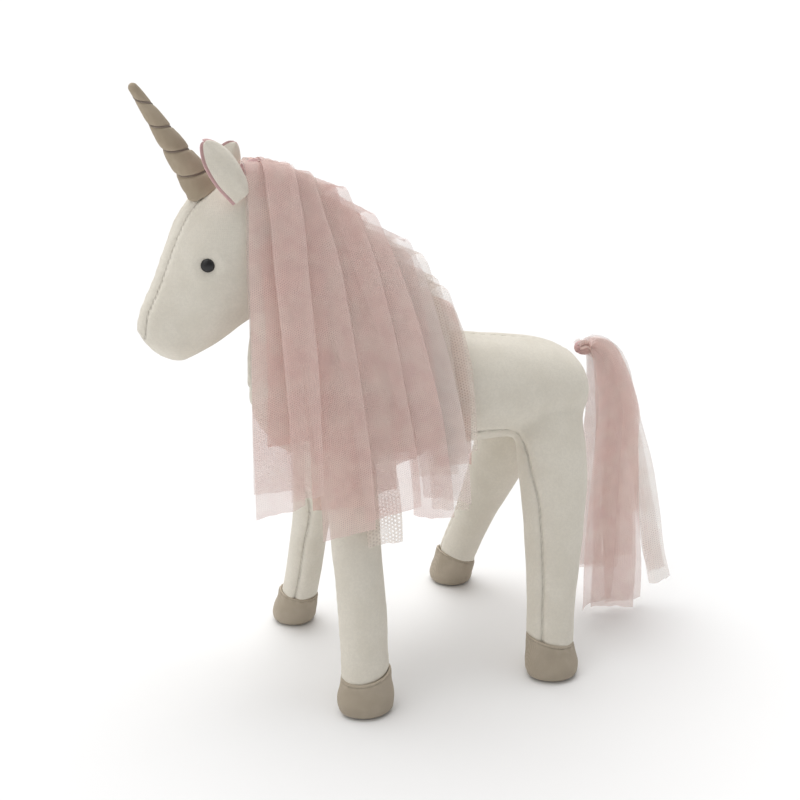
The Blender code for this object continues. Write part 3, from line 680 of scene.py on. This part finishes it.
def panel_labels(middle):
    """The name of the panel that each face belongs to, from the middles of the faces."""
    flat = middle[:, [0, 2]]
    side_word = np.where(middle[:, 1] < 0, "left", "right")
    label = np.empty(len(middle), dtype=object)
    low, high, wide = (np.interp(middle[:, 0], TORSO[:, 0], TORSO[:, k]) for k in (1, 2, 3))
    turn = np.arctan2(np.abs(middle[:, 1]) / wide, ((low + high) / 2 - middle[:, 2]) / ((high - low) / 2))
    label[:] = [f"torso_side_panel_{s}" for s in side_word]
    label[turn < BELLY] = "belly_gusset"
    neck = ((flat - BASE_CENTRE) @ BASE_UP > 0) & (middle[:, 0] < 0.012)
    label[neck] = [f"neck_side_panel_{s}" for s in side_word[neck]]
    head = neck & ((flat - MID_CENTRE) @ MID_UP > 0)
    label[head] = [f"head_side_panel_{s}" for s in side_word[head]]
    upper = ((flat - FACE_POINT) @ FACE_WAY > 0.01) | (middle[:, 2] > 0.297)
    label[head & upper & (np.abs(middle[:, 1]) < GUSSET_HALF) & (middle[:, 0] < -0.098)] = "head_gusset"
    for end in ENDS:
        rows = LEGS[end]
        centre_x, centre_y = (np.interp(-middle[:, 2], -rows[:, 0], rows[:, k]) for k in (1, 2))
        for word, side in SIDES:
            inside = ((middle[:, 2] < LEG_TOP) & (middle[:, 1] * side > 0.002)
                      & (np.abs(middle[:, 0] - centre_x) < rows[1][3] + 0.01))
            outer = middle[:, 1] * side > centre_y
            label[inside & outer] = f"leg_outer_panel_{end}_{word}"
            label[inside & ~outer] = f"leg_inner_panel_{end}_{word}"
    return label


def cut_panel(name):
    chosen = face_verts[label == name]
    used, index = np.unique(chosen, return_inverse=True)
    mesh = mesh_of(name, co[used], [tuple(int(i) for i in f) for f in index.reshape(chosen.shape)])
    mesh.shade_smooth()
    keep_value(mesh, "seam", seam_away[used])
    keep_value(mesh, "seam_along", seam_along[used])
    mesh.normals_split_custom_set_from_vertices([tuple(n) for n in normal[used]])
    return mesh


def under_panel(name):
    """The frame's nodes that a panel stands for: its own and the filling under it."""
    under = {"belly_gusset": ["torso_stuffing"], "neck_side_panel_left": ["neck_stuffing", "neck_root_flex"],
             "head_side_panel_left": ["head_stuffing"]}.get(name, [])
    if name.startswith("leg_outer"):
        where = name.removeprefix("leg_outer_panel_")
        under = [f"leg_stuffing_{where}", f"leg_root_flex_{where}"]
    return [name] + under


def point(flat_point):
    return (float(flat_point[0]), 0.0, float(flat_point[1]))


face_verts = np.array([tuple(f.vertices) for f in skin_mesh.polygons])
label = panel_labels(co[face_verts].mean(axis=1))
for name in sorted(set(label)):
    obj = piece(f"skin_{name}", cut_panel(name), knit, None, name, under_panel(name))
    if name.startswith("leg"):
        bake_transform(obj)
    elif name.startswith("neck"):
        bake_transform(obj)
    elif name.startswith("head"):
        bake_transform(obj)
    else:
        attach(obj, "torso")
bpy.data.objects.remove(skin)


# ---- hooves
HOOF_ROWS = np.array((
    # z, half length, half width, share of the way from the ankle to the hoof's centre
    (0.02, 0.0136, 0.0125, 0.0), (0.0212, 0.0146, 0.0136, 0.0), (0.0206, 0.0155, 0.0144, 0.02),
    (0.019, 0.0158, 0.0146, 0.08), (0.015, 0.0164, 0.0147, 0.3), (0.011, 0.0172, 0.015, 0.6),
    (0.007, 0.0176, 0.015, 0.85), (0.0038, 0.0172, 0.0146, 0.95), (0.0016, 0.016, 0.0134, 1.0),
    (0.0005, 0.014, 0.0114, 1.0), (0.0001, 0.01, 0.008, 1.0), (0.0001, 0.004, 0.0032, 1.0)))


def hoof(end, word, side):
    rows = smooth_rows(HOOF_ROWS, 4)
    ankle = LEGS[end][-1]
    centre = HOOF_CENTRES[end]
    tilt = HOOF_TILT[f"{end}_{word}"]
    count = 84
    angle = np.linspace(0, 2 * pi, count, endpoint=False)
    rings = np.zeros((len(rows), count, 3))
    x = ankle[1] + (centre[0] - ankle[1]) * rows[:, 3]
    y = ankle[2] + (centre[1] - ankle[2]) * rows[:, 3]
    toe = 0.1 * np.maximum(np.sin(angle), 0)
    length = rows[:, 1:2] * (ankle[3] / 0.015) * SLIM[f"{end}_{word}"]
    rings[:, :, 0] = x[:, None] - length * np.sin(angle) * (1 + toe * rows[:, 3:4])
    rings[:, :, 1] = side * (y[:, None] + rows[:, 2:3] * np.cos(angle))
    upper = np.clip((rows[:, :1] - 0.008) / 0.012, 0, 1)
    rings[:, :, 2] = np.maximum(rows[:, :1], 0.0001) + upper * tilt * (rings[:, :, 0] - ankle[1])
    points = rings.reshape(-1, 3)
    seed = 5.0 * side + (3.0 if end == "rear" else 0.0)
    out = points - np.array((x.mean(), side * y.mean(), 0.01))
    out /= np.linalg.norm(out, axis=1)[:, None]
    lumps = bumps(points, 60.0, 0.0008, seed) + bumps(points, 170.0, 0.00035, seed + 1)
    share = np.repeat(np.arange(len(rows)) / (len(rows) - 1), count)
    calm = np.clip(points[:, 2] / 0.004, 0, 1) * np.clip((share - 0.1) / 0.12, 0.1, 1)
    around = np.tile(angle, len(rows))
    gathers = 0.0003 * np.sin(around * 15 + seed) * np.exp(-((share - 0.24) / 0.06) ** 2)
    crease = -0.0012 * np.exp(-((points[:, 2] - 0.005 - 0.1 * (points[:, 0] - x.mean())) / 0.0009) ** 2)
    crease *= np.clip(side * np.cos(around) * 1.5, 0, 1) * (1.0 if (end, word) == ("rear", "left") else 0.25)
    stitched = -0.00045 * np.exp(-((share - 0.235) / 0.018) ** 2)
    points = points + out * ((lumps * calm) + gathers + crease + stitched)[:, None]
    points[:, 2] = np.maximum(points[:, 2], 0.00005)
    mesh = closed_loft(f"hoof_{end}_{word}", points.reshape(rings.shape))
    keep_value(mesh, "stitch", (share - 0.235) * 60)
    keep_value(mesh, "around", around * 15)
    cap = piece(f"hoof_cap_{end}_{word}", mesh, hoof_cloth, f"leg_{end}_{word}", f"hoof_{end}_{word}")


for end in ENDS:
    for word, side in SIDES:
        hoof(end, word, side)


# ---- horn
horn_axis = (HORN_TIP - HORN_BASE).normalized()
horn_frame = turned_to(horn_axis, HORN_BASE)
HORN_LENGTH = (HORN_TIP - HORN_BASE).length
HORN_TURNS = 4.5
HORN_SUNK = 0.0015


def horn_radius(t):
    return 0.0083 * (1 - t) + 0.002 * t


def horn_turn(t):
    """Turns wound by the share t of the horn's length."""
    return HORN_TURNS * t + 0.25


def wound_sleeve(rows=190, around=64):
    """The tapering sleeve, puffed between the turns of the thread that is pulled tight round it."""
    rings = []
    for i in range(rows + 1):
        t = i / rows
        ring = []
        for a in (2 * pi * k / around for k in range(around)):
            phase = (horn_turn(t) + a / (2 * pi)) % 1.0
            away = min(phase, 1 - phase)
            radius = horn_radius(t) * (1.02 + 0.12 * sin(pi * phase) - 0.2 * exp(-(away / 0.055) ** 2))
            flare = 0.0011 * exp(-(t / 0.035) ** 2)
            tip = sqrt(max(0.0, 1 - max(0.0, (t - 0.965) / 0.035) ** 2))
            radius = (radius + flare) * max(tip, 0.02)
            radius *= 1 + 0.035 * noise.noise(Vector((3 * cos(a), 3 * sin(a), t * 16)))
            ring.append((radius * cos(a), radius * sin(a), HORN_LENGTH * t - HORN_SUNK))
        rings.append(ring)
    mesh = closed_loft("horn", np.array(rings))
    mesh.transform(horn_frame)
    return mesh


def thread_mesh(name, path, radius, sides=8):
    """A thin round thread along the path."""
    points = []
    up = Vector((0.13, 0.2, 0.97)).normalized()
    for i, p in enumerate(path):
        along = (path[min(i + 1, len(path) - 1)] - path[max(i - 1, 0)]).normalized()
        u = along.cross(up).normalized()
        v = along.cross(u)
        points += [p + (u * cos(q) + v * sin(q)) * radius
                   for q in (2 * pi * k / sides for k in range(sides))]
    faces = tube_faces(len(path), sides)
    faces += [tuple(range(sides))[::-1], tuple(range((len(path) - 1) * sides, len(path) * sides))]
    return outward(mesh_of(name, points, faces))


def thread_path(steps=519):
    path = []
    for i in range(steps + 1):
        t = 0.03 + 0.93 * i / steps
        a = -2 * pi * horn_turn(t)
        radius = horn_radius(t) * 0.84 + 0.0003
        height = HORN_LENGTH * t - HORN_SUNK
        path.append(horn_frame @ Vector((radius * cos(a), radius * sin(a), height)))
    return path


piece("horn_wound_sleeve", wound_sleeve(), horn_cloth, "head", "horn_sleeve",
                ["horn_sleeve", "horn_stuffing"])
piece("horn_winding_thread", thread_mesh("thread", thread_path(), 0.00042), horn_thread_look, "head",
      "horn_thread")


# ---- ears
EAR_LENGTH = 0.0345
EAR_SUNK = {"left": Vector((0, 0, 0)), "right": Vector((0.004, 0, -0.006))}


def ear(word):
    base, tip, back = (Vector(p) for p in EARS[word])
    base, tip = base + EAR_SUNK[word], tip + EAR_SUNK[word]
    along = (tip - base).normalized()
    out = (back - along * back.dot(along)).normalized()
    across = along.cross(out).normalized()
    if across.x > 0:
        across = -across                            # s = 1 is the front edge
    rows, steps = 40, 26
    for layer, look in (("outer", knit), ("lining", ear_pink)):
        lining = layer == "lining"
        points, away = [], []
        for i in range(rows + 1):
            t = 1 - (1 - i / rows) ** 1.7           # closer rows towards the round tip
            outline = 0.74 + 0.26 * sin(pi * min(1.0, t))
            outline *= max(0.08, sqrt(1 - (max(0.0, t - 0.52) / 0.48) ** 2.3))
            for k in range(steps + 1):
                s = -1 + 2 * k / steps
                front = max(0.0, s) ** 3
                width = (0.0085 if lining else 0.0088) * outline + (0.0013 * front if lining else 0.0)
                cup = 0.0052 * (1 - s * s) * sin(pi * (0.22 + 0.7 * t))
                puff = 0.0009 * (1 - s ** 4) * sin(pi * min(1.0, t * 1.1))
                lift = -0.0016 + 0.0006 * front - 0.4 * puff if lining else 0.0006 + puff
                roll = 0.0012 * front * outline
                curl = -0.0018 * t * t
                wob = 0.0005 * noise.noise(Vector((t * 4, s * 2, base.y * 150)))
                points.append(base + along * (EAR_LENGTH * t - 0.0015) + across * (width * s)
                              + out * (cup + lift + roll + curl + wob))
                away.append(1000 * min(width * (1 - abs(s)), EAR_LENGTH * (1 - t)) - 1.0)
        mesh = mesh_of(f"ear_{layer}_{word}", points, tube_faces(rows + 1, steps + 1, closed=False))
        keep_value(mesh, "seam", np.full(len(points), 9.0) if layer == "outer" else np.abs(away))
        keep_value(mesh, "seam_along", [1000 * p.z for p in points])
        facing = sum(f.normal.dot(out) for f in mesh.polygons)
        if (facing < 0) == (layer == "outer"):
            mesh.flip_normals()
        obj = piece(f"ear_{layer}_cloth_{word}", mesh, look, None, f"ear_{layer}_{word}")
        solid = obj.modifiers.new("cloth", "SOLIDIFY")
        solid.thickness = 0.001 if layer == "outer" else 0.0008
        solid.offset = -1
        rounded = obj.modifiers.new("rounded", "BEVEL")
        rounded.width = 0.0004
        rounded.segments = 3
        rounded.limit_method = "ANGLE"
        applied(obj)
        obj.data.shade_smooth()
        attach(obj, f"ear_{word}")


for word, _ in SIDES:
    ear(word)


# ---- eyes
def eye(word, side):
    spot, n, _, _ = skin_tree.find_nearest(eye_spot(side))
    rings = []
    radius = 0.0036
    profile = [(radius * 0.35, -0.002), (radius * 0.9, -0.0012), (radius, -0.0002)]
    profile += [(radius * cos(q), 0.0002 + radius * 0.62 * sin(q))
                for q in (pi / 2 * k / 14 for k in range(14))] + [(0.00004, 0.0002 + radius * 0.62)]
    for r, h in profile:
        rings.append([(r * cos(a), r * sin(a), h)
                      for a in (2 * pi * k / 40 for k in range(40))])
    mesh = closed_loft(f"bead_{word}", np.array(rings))
    mesh.transform(turned_to(n, spot + n * 0.0002))
    piece(f"eye_bead_{word}", mesh, bead_look, "head", f"eye_{word}")
    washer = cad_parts[f"eye_washer_{word}"]
    washer_look = cloth_material(f"washer_white_{word}", (0.78, 0.78, 0.76), (0.82, 0.82, 0.8), 0.0)
    washer.data.materials.clear()
    washer.data.materials.append(washer_look)


for word, side in SIDES:
    eye(word, side)


# ---- tulle strips
def strip_mesh(name, centre, across, width, out, seed, ripple, gather, slant, pleat, steps=16):
    """A ribbon along the centre line. across and out are unit vectors for each point of the line, and
    ripple is the depth of its folds at the free end."""
    count = len(centre)
    points, flat = [], []
    travelled = 0.0
    total = sum((centre[i + 1] - centre[i]).length for i in range(count - 1))
    for i in range(count):
        if i:
            travelled += (centre[i] - centre[i - 1]).length
        t = travelled / total
        pinch = gather + (1 - gather) * min(1.0, t / 0.3) ** 0.7
        depth = ripple * (0.25 + 0.75 * t)
        bunch = pleat * max(0.0, 1 - t / 0.16) ** 1.5
        shift = noise.noise(Vector((seed, t * 1.6, 0)))
        for k in range(steps + 1):
            s = -1 + 2 * k / steps
            fold = sin(s * 2.3 + seed * 2.1 + 2.0 * shift)
            fold += 0.35 * sin(s * 5.1 - seed * 1.7 + t * 2.0)
            fold += (0.9 * abs(s) ** 5 * t) * sin(t * 9.0 + seed + s)
            edge = 0.0009 * noise.noise(Vector((t * 5 + seed, s * 2, seed)))
            p = centre[i] + across[i] * (s * width / 2 * pinch + edge)
            p = p + out[i] * (depth * 0.8 * fold + bunch * sin(s * 11.0 + seed))
            if t > 0.9:
                drop = slant * s * width / 2 + 0.001 * noise.noise(Vector((s * 2.5, seed * 3.1, 0)))
                p = p + Vector((0, 0, -1)) * (drop * (t - 0.9) / 0.1)
            points.append(p)
            flat.append((s * width / 2 * 1000, travelled * 1000))
    mesh = mesh_of(name, points, tube_faces(count, steps + 1, closed=False))
    layer = mesh.uv_layers.new(name="flat")
    loops = np.empty(len(mesh.loops), np.int32)
    mesh.loops.foreach_get("vertex_index", loops)
    layer.data.foreach_set("uv", np.array(flat, np.float32)[loops].ravel())
    return mesh, total


CREST = smooth_rows(((-0.112, 0.301), (-0.104, 0.3025), (-0.096, 0.3), (-0.075, 0.284),
                     (-0.05, 0.256), (-0.03, 0.238), (-0.01, 0.218), (0.004, 0.205)), 10)
# How high the strips stand over the seam before they fall, along the crest
RISE = np.array(((-0.112, 0.001), (-0.104, 0.0025), (-0.096, 0.004), (-0.085, 0.0085),
                 (-0.07, 0.012), (-0.055, 0.015), (-0.04, 0.0168), (-0.028, 0.0165),
                 (-0.015, 0.013), (-0.005, 0.008), (0.004, 0.004)))
LOCK_ENDS = (-0.0855, -0.0655, -0.0465, -0.027)    # where one lock's roots end and the next one's begin
LOCKS = ("poll", "upper", "middle", "lower", "withers")


def crest(x):
    """The crest's point there, the way it runs and the way up from it."""
    z, ahead, behind = (np.interp(x + off, CREST[:, 0], CREST[:, 1]) for off in (0, 0.004, -0.004))
    slope = (ahead - behind) / 0.008
    along = Vector((1, 0, slope)).normalized()
    return Vector((x, 0, z)), along, Vector((-along.z, 0, along.x))


def side_of_skin(x, z, side):
    """How far the skin stands out at that height, or 0."""
    hit = skin_tree.ray_cast(Vector((x, side * 0.2, z)), Vector((0, -side, 0)))[0]
    return 0.0 if hit is None or hit.y * side < 0 else abs(hit.y)


def mane_strip(name, side, root_x, tip_x, tip_z, width, look, clear, fullness, farthest, slant, seed):
    root, along, up = crest(root_x)
    rise = fullness * np.interp(root_x, RISE[:, 0], RISE[:, 1])
    path = []
    arc = 16
    span = 0.01 + 0.35 * rise + clear
    for i in range(arc):
        q = pi / 2 * i / (arc - 1)
        path.append(root + up * (rise * sin(q * 1.45 + 0.05))
                    + Vector((0, side * (0.0008 + span * (1 - cos(q)) ** 0.9), 0)))
    x0, z0, first = path[-1].x, path[-1].z, abs(path[-1].y)
    down = 40
    reach, y = [], first
    for i in range(1, down + 1):
        t = i / down
        z = z0 + (tip_z - z0) * t
        x = x0 + (tip_x - x0) * (1 - (1 - t) ** 1.6)
        y = max(y, side_of_skin(x, z, side) + clear, first + (farthest - first) * (1 - (1 - t) ** 2.2))
        reach.append((x, y, z))
    ys = np.array([r[1] for r in reach])
    kernel = np.array([1, 2, 3, 4, 5, 4, 3, 2, 1]) / 25
    ys = np.convolve(np.concatenate([[first] * 4, ys, [ys[-1]] * 4]), kernel, mode="valid")
    for (x, _, z), y in zip(reach, ys):
        sway = 0.0014 * noise.noise(Vector((seed * 1.3, z * 11, 0)))
        path.append(Vector((x + sway, side * y, z)))
    centre = [Vector(p) for p in smooth_rows([tuple(p) for p in path[::2]], 2)]
    across, out = [], []
    for i, p in enumerate(centre):
        t = i / (len(centre) - 1)
        a, b = centre[max(0, i - 1)], centre[min(len(centre) - 1, i + 1)]
        direction = (b - a).normalized()
        wide = along.lerp(Vector((1, 0, 0)), min(1.0, t * 2.2))
        wide = (wide - direction * wide.dot(direction)).normalized()
        normal_here = wide.cross(direction).normalized()
        if normal_here.y * side < 0:
            normal_here = -normal_here
        across.append(wide)
        out.append(normal_here)
    mesh, length = strip_mesh(name, centre, across, width, out, seed, 0.0013, 0.8, slant, 0.0005)
    word = "left" if side < 0 else "right"
    lock = LOCKS[sum(root_x > end for end in LOCK_ENDS)]
    obj = piece(name, mesh, TULLES[look], f"mane_{word}", f"mane_{word}_{lock}")


# Root x, tip x, tip z, width, look, clearance, fullness over the crest, how far out the tip hangs, and the
# slant of the cut end
MANE = {
    "left": (
        (-0.101, -0.11, 0.132, 0.032, "blush", 0.0015, 0.6, 0.048, 0.1),
        (-0.0935, -0.1, 0.16, 0.034, "rose", 0.0015, 0.65, 0.048, -0.1),
        (-0.082, -0.076, 0.116, 0.034, "rose", 0.0015, 0.65, 0.048, 0.1),
        (-0.066, -0.056, 0.122, 0.026, "rose", 0.0015, 0.7, 0.048, 0.0),
        (-0.052, -0.044, 0.14, 0.024, "champagne", 0.0015, 0.7, 0.047, 0.1),
        (-0.04, -0.03, 0.14, 0.028, "rose", 0.0015, 0.7, 0.046, -0.2),
        (-0.024, -0.017, 0.126, 0.028, "champagne", 0.0015, 0.75, 0.044, 0.1),
        (-0.01, -0.006, 0.13, 0.024, "rose", 0.0015, 0.75, 0.042, 0.1),
        (-0.102, -0.114, 0.123, 0.028, "pink", 0.005, 1.0, 0.055, -0.12),
        (-0.089, -0.053, 0.091, 0.021, "net", 0.0026, 0.85, 0.052, 0.05),
        (-0.08, -0.049, 0.11, 0.034, "pink", 0.0042, 0.95, 0.055, -0.05),
        (-0.094, -0.076, 0.103, 0.03, "pink", 0.006, 1.0, 0.0565, -0.1),
        (-0.0985, -0.1, 0.13, 0.019, "pink", 0.0088, 1.0, 0.058, 0.02),
        (-0.064, -0.0225, 0.103, 0.024, "pink", 0.0064, 1.0, 0.053, 0.25),
        (-0.048, -0.014, 0.112, 0.03, "blush", 0.005, 1.0, 0.051, 0.35),
        (-0.033, -0.01, 0.104, 0.024, "champagne", 0.004, 1.0, 0.047, 0.2),
        (-0.016, -0.001, 0.134, 0.02, "champagne", 0.003, 0.95, 0.044, -0.3),
        (-0.005, 0.001, 0.16, 0.016, "net", 0.0022, 0.95, 0.04, 0.1),
    ),
    "right": (
        (-0.098, -0.074, 0.132, 0.022, "rose", 0.0016, 0.6, 0.043, 0.1),
        (-0.082, -0.066, 0.126, 0.025, "rose", 0.0016, 0.65, 0.043, -0.1),
        (-0.065, -0.056, 0.118, 0.026, "pink", 0.0016, 0.65, 0.044, 0.1),
        (-0.048, -0.043, 0.112, 0.026, "rose", 0.0016, 0.65, 0.044, 0.0),
        (-0.03, -0.028, 0.112, 0.024, "champagne", 0.0016, 0.65, 0.043, 0.1),
        (-0.012, -0.012, 0.12, 0.025, "rose", 0.0016, 0.65, 0.042, -0.1),
        (-0.091, -0.07, 0.124, 0.022, "pink", 0.0045, 0.95, 0.046, -0.1),
        (-0.074, -0.061, 0.112, 0.026, "blush", 0.005, 0.95, 0.048, 0.1),
        (-0.056, -0.048, 0.106, 0.026, "pink", 0.0048, 0.95, 0.048, -0.1),
        (-0.038, -0.033, 0.108, 0.024, "net", 0.0048, 0.95, 0.047, 0.1),
        (-0.02, -0.019, 0.112, 0.026, "pink", 0.0045, 0.95, 0.046, -0.1),
    ),
}
for word, side in SIDES:
    for i, row in enumerate(MANE[word]):
        mane_strip(f"mane_strip_{word}_{i:02d}", side, *row, 1.7 * i + 0.9 * side)



def bunch(name, rows, around, radius, blunt, half_length, crease, place, axis, stretch=1.0):
    """A puckered bead of gathered tulle. crease gives its radius's share at a turn a and a latitude q."""
    rings = []
    for i in range(rows):
        q = pi * (0.02 + 0.96 * i / (rows - 1))
        ring = []
        for a in (2 * pi * k / around for k in range(around)):
            r = radius * sin(q) ** blunt * crease(a, q)
            ring.append((r * cos(a), stretch * r * sin(a), half_length * cos(q)))
        rings.append(ring)
    mesh = closed_loft(name, np.array(rings))
    mesh.transform(turned_to(axis, place))
    return mesh


def tuft_crease(a, q):
    return 1 + 0.14 * sin(a * 7 + 1.1 * sin(q * 3)) * sin(q) + 0.06 * sin(a * 3 + q * 4)


def knot_crease(a, q):
    return 1 + 0.15 * sin(a * 9 + 0.8 * sin(q * 3)) * sin(q)


# The gathered ends of the first strips, bunched just behind the ears
tuft = bunch("tuft", 30, 64, 0.0038, 0.8, 0.0078, tuft_crease, Vector((-0.1065, -0.0065, 0.3015)),
             Vector((1, -0.35, 0.12)), 1.25)
piece("mane_tuft", tuft, ear_pink, "mane_left", "mane_left_poll")


# ---- tail
# How the outermost tail strips run, from the knot down: x and z
TAIL_SWEEP = ((0.1, 0.1768), (0.111, 0.1752), (0.1205, 0.164), (0.129, 0.148), (0.135, 0.125),
              (0.144, 0.095), (0.151, 0.06), (0.155, 0.035), (0.159, 0.015))
# Tip x, y and z, arch behind the knot, or None for the outermost ones, width, look, lock and slant
TAIL = (
    (0.108, -0.02, 0.01, 0.003, 0.022, "pink", "inner", -0.2),
    (0.122, -0.019, 0.004, 0.007, 0.027, "pink", "inner", 0.0),
    (0.111, -0.003, 0.03, 0.004, 0.022, "blush", "inner", 0.1),
    (0.133, -0.014, 0.004, 0.011, 0.026, "pink", "middle", 0.0),
    (0.124, 0.003, 0.022, 0.01, 0.026, "blush", "middle", -0.1),
    (0.134, -0.004, 0.03, 0.015, 0.024, "blush", "middle", 0.1),
    (0.14, 0.001, 0.06, 0.019, 0.02, "champagne", "middle", 0.2),
    (0.159, -0.018, 0.015, None, 0.014, "champagne", "outer", -0.2),
    (0.158, -0.012, 0.02, None, 0.013, "blush", "outer", 0.1),
)


def tail_path(tip_x, tip_y, tip_z, arch):
    """Points from the knot over the arch behind it and down to the tip."""
    if arch is None:
        path = [Vector((x, tip_y * k / (len(TAIL_SWEEP) - 1), z)) for k, (x, z) in enumerate(TAIL_SWEEP)]
        path[-1].z = tip_z
        return path
    path = [TAIL_KNOT + Vector(p) for p in (
        (-0.0045, tip_y * 0.15, 0.0005), (0.0015 + arch * 0.25, tip_y * 0.3, 0.0016),
        (0.006 + arch * 0.75, tip_y * 0.5, -0.005 - arch * 0.25),
        (0.009 + arch * 1.1, tip_y * 0.8, -0.034 - arch * 0.5))]
    bend = path[-1]
    for k in range(1, 8):
        t = k / 7
        path.append(Vector((bend.x + (tip_x - bend.x) * t ** 0.9, bend.y + (tip_y - bend.y) * t,
                            bend.z + (tip_z - bend.z) * t)))
    return path


def tail_strip(name, tip_x, tip_y, tip_z, arch, width, look, lock, slant, seed):
    path = tail_path(tip_x, tip_y, tip_z, arch)
    centre = [Vector(p) for p in smooth_rows([tuple(p) for p in path], 5)]
    across, out = [], []
    for k in range(len(centre)):
        a, b = centre[max(0, k - 1)], centre[min(len(centre) - 1, k + 1)]
        direction = (b - a).normalized()
        wide = Vector((0.9, 0.3 * sin(seed) - 0.15, 0.0))
        wide = (wide - direction * wide.dot(direction)).normalized()
        across.append(wide)
        out.append(wide.cross(direction).normalized())
    mesh, length = strip_mesh(name, centre, across, width, out, seed, 0.002, 0.3, slant, 0.0008)
    obj = piece(name, mesh, TULLES[look], "tail", f"tail_lock_{lock}")


for i, row in enumerate(TAIL):
    tail_strip(f"tail_strip_{i:02d}", *row, 40.0 + 2.3 * i)

# The gathered knot that the tail hangs from
knot = bunch("knot", 40, 60, 0.004, 0.7, 0.0062, knot_crease, TAIL_KNOT,
             Vector((0.95, 0, -0.12)).normalized())
piece("tail_gather", knot, ear_pink, "tail_base", "tail_knot")


# ---- floor, light and camera
def floor():
    bpy.ops.mesh.primitive_plane_add(size=60.0, location=(0, 0, -0.0002))
    ground = bpy.context.active_object
    ground.name = "floor"
    g = Graph("floor_white")
    place = g.node("ShaderNodeTexCoord").outputs["Object"]
    soft = g.noise(place, 3.0, 2.0)
    white = g.mix(soft, (0.86, 0.86, 0.86), (0.88, 0.88, 0.88))
    ground.data.materials.append(g.finish(white, 0.9, None, 0.0, None, 0.1))


def soft_light(name, direction, strength, spread, colour=(1, 1, 1)):
    """Even light from far away, coming from the direction, as wide as the spread in degrees."""
    data = bpy.data.lights.new(name, "SUN")
    data.energy = strength
    data.angle = radians(spread)
    data.color = colour
    lamp = linked(name, data)
    lamp.rotation_euler = Vector(direction).to_track_quat("Z", "Y").to_euler()
    lamp.location = Vector(direction).normalized() * 2


floor()
TARGET = (-0.02, 0.0, 0.16)
soft_light("top_back", (0.02, 0.45, 1.0), 2.5, 70)
soft_light("left", (-1.0, -0.2, 0.8), 0.66, 60, (1.0, 0.99, 0.97))
soft_light("right", (1.0, -0.3, 0.8), 0.25, 60)
world = bpy.data.worlds.new("studio")
bpy.context.scene.world = world
world.use_nodes = True
world.node_tree.nodes["Background"].inputs["Color"].default_value = (1.0, 1.0, 1.0, 1.0)
world.node_tree.nodes["Background"].inputs["Strength"].default_value = 0.31
bpy.context.scene.view_settings.view_transform = "Standard"

camera_data = bpy.data.cameras.new("camera")
camera_data.lens = 61.9
camera_data.sensor_width = 36.0
camera = linked("camera", camera_data)
AZIMUTH, ELEVATION, DISTANCE = radians(-24.3), radians(19.2), 0.8
camera.location = Vector(TARGET) + DISTANCE * Vector((sin(AZIMUTH) * cos(ELEVATION),
                                                      -cos(AZIMUTH) * cos(ELEVATION),
                                                      sin(ELEVATION)))
camera.rotation_euler = (Vector(TARGET) - camera.location).to_track_quat("-Z", "Y").to_euler()
bpy.context.scene.camera = camera
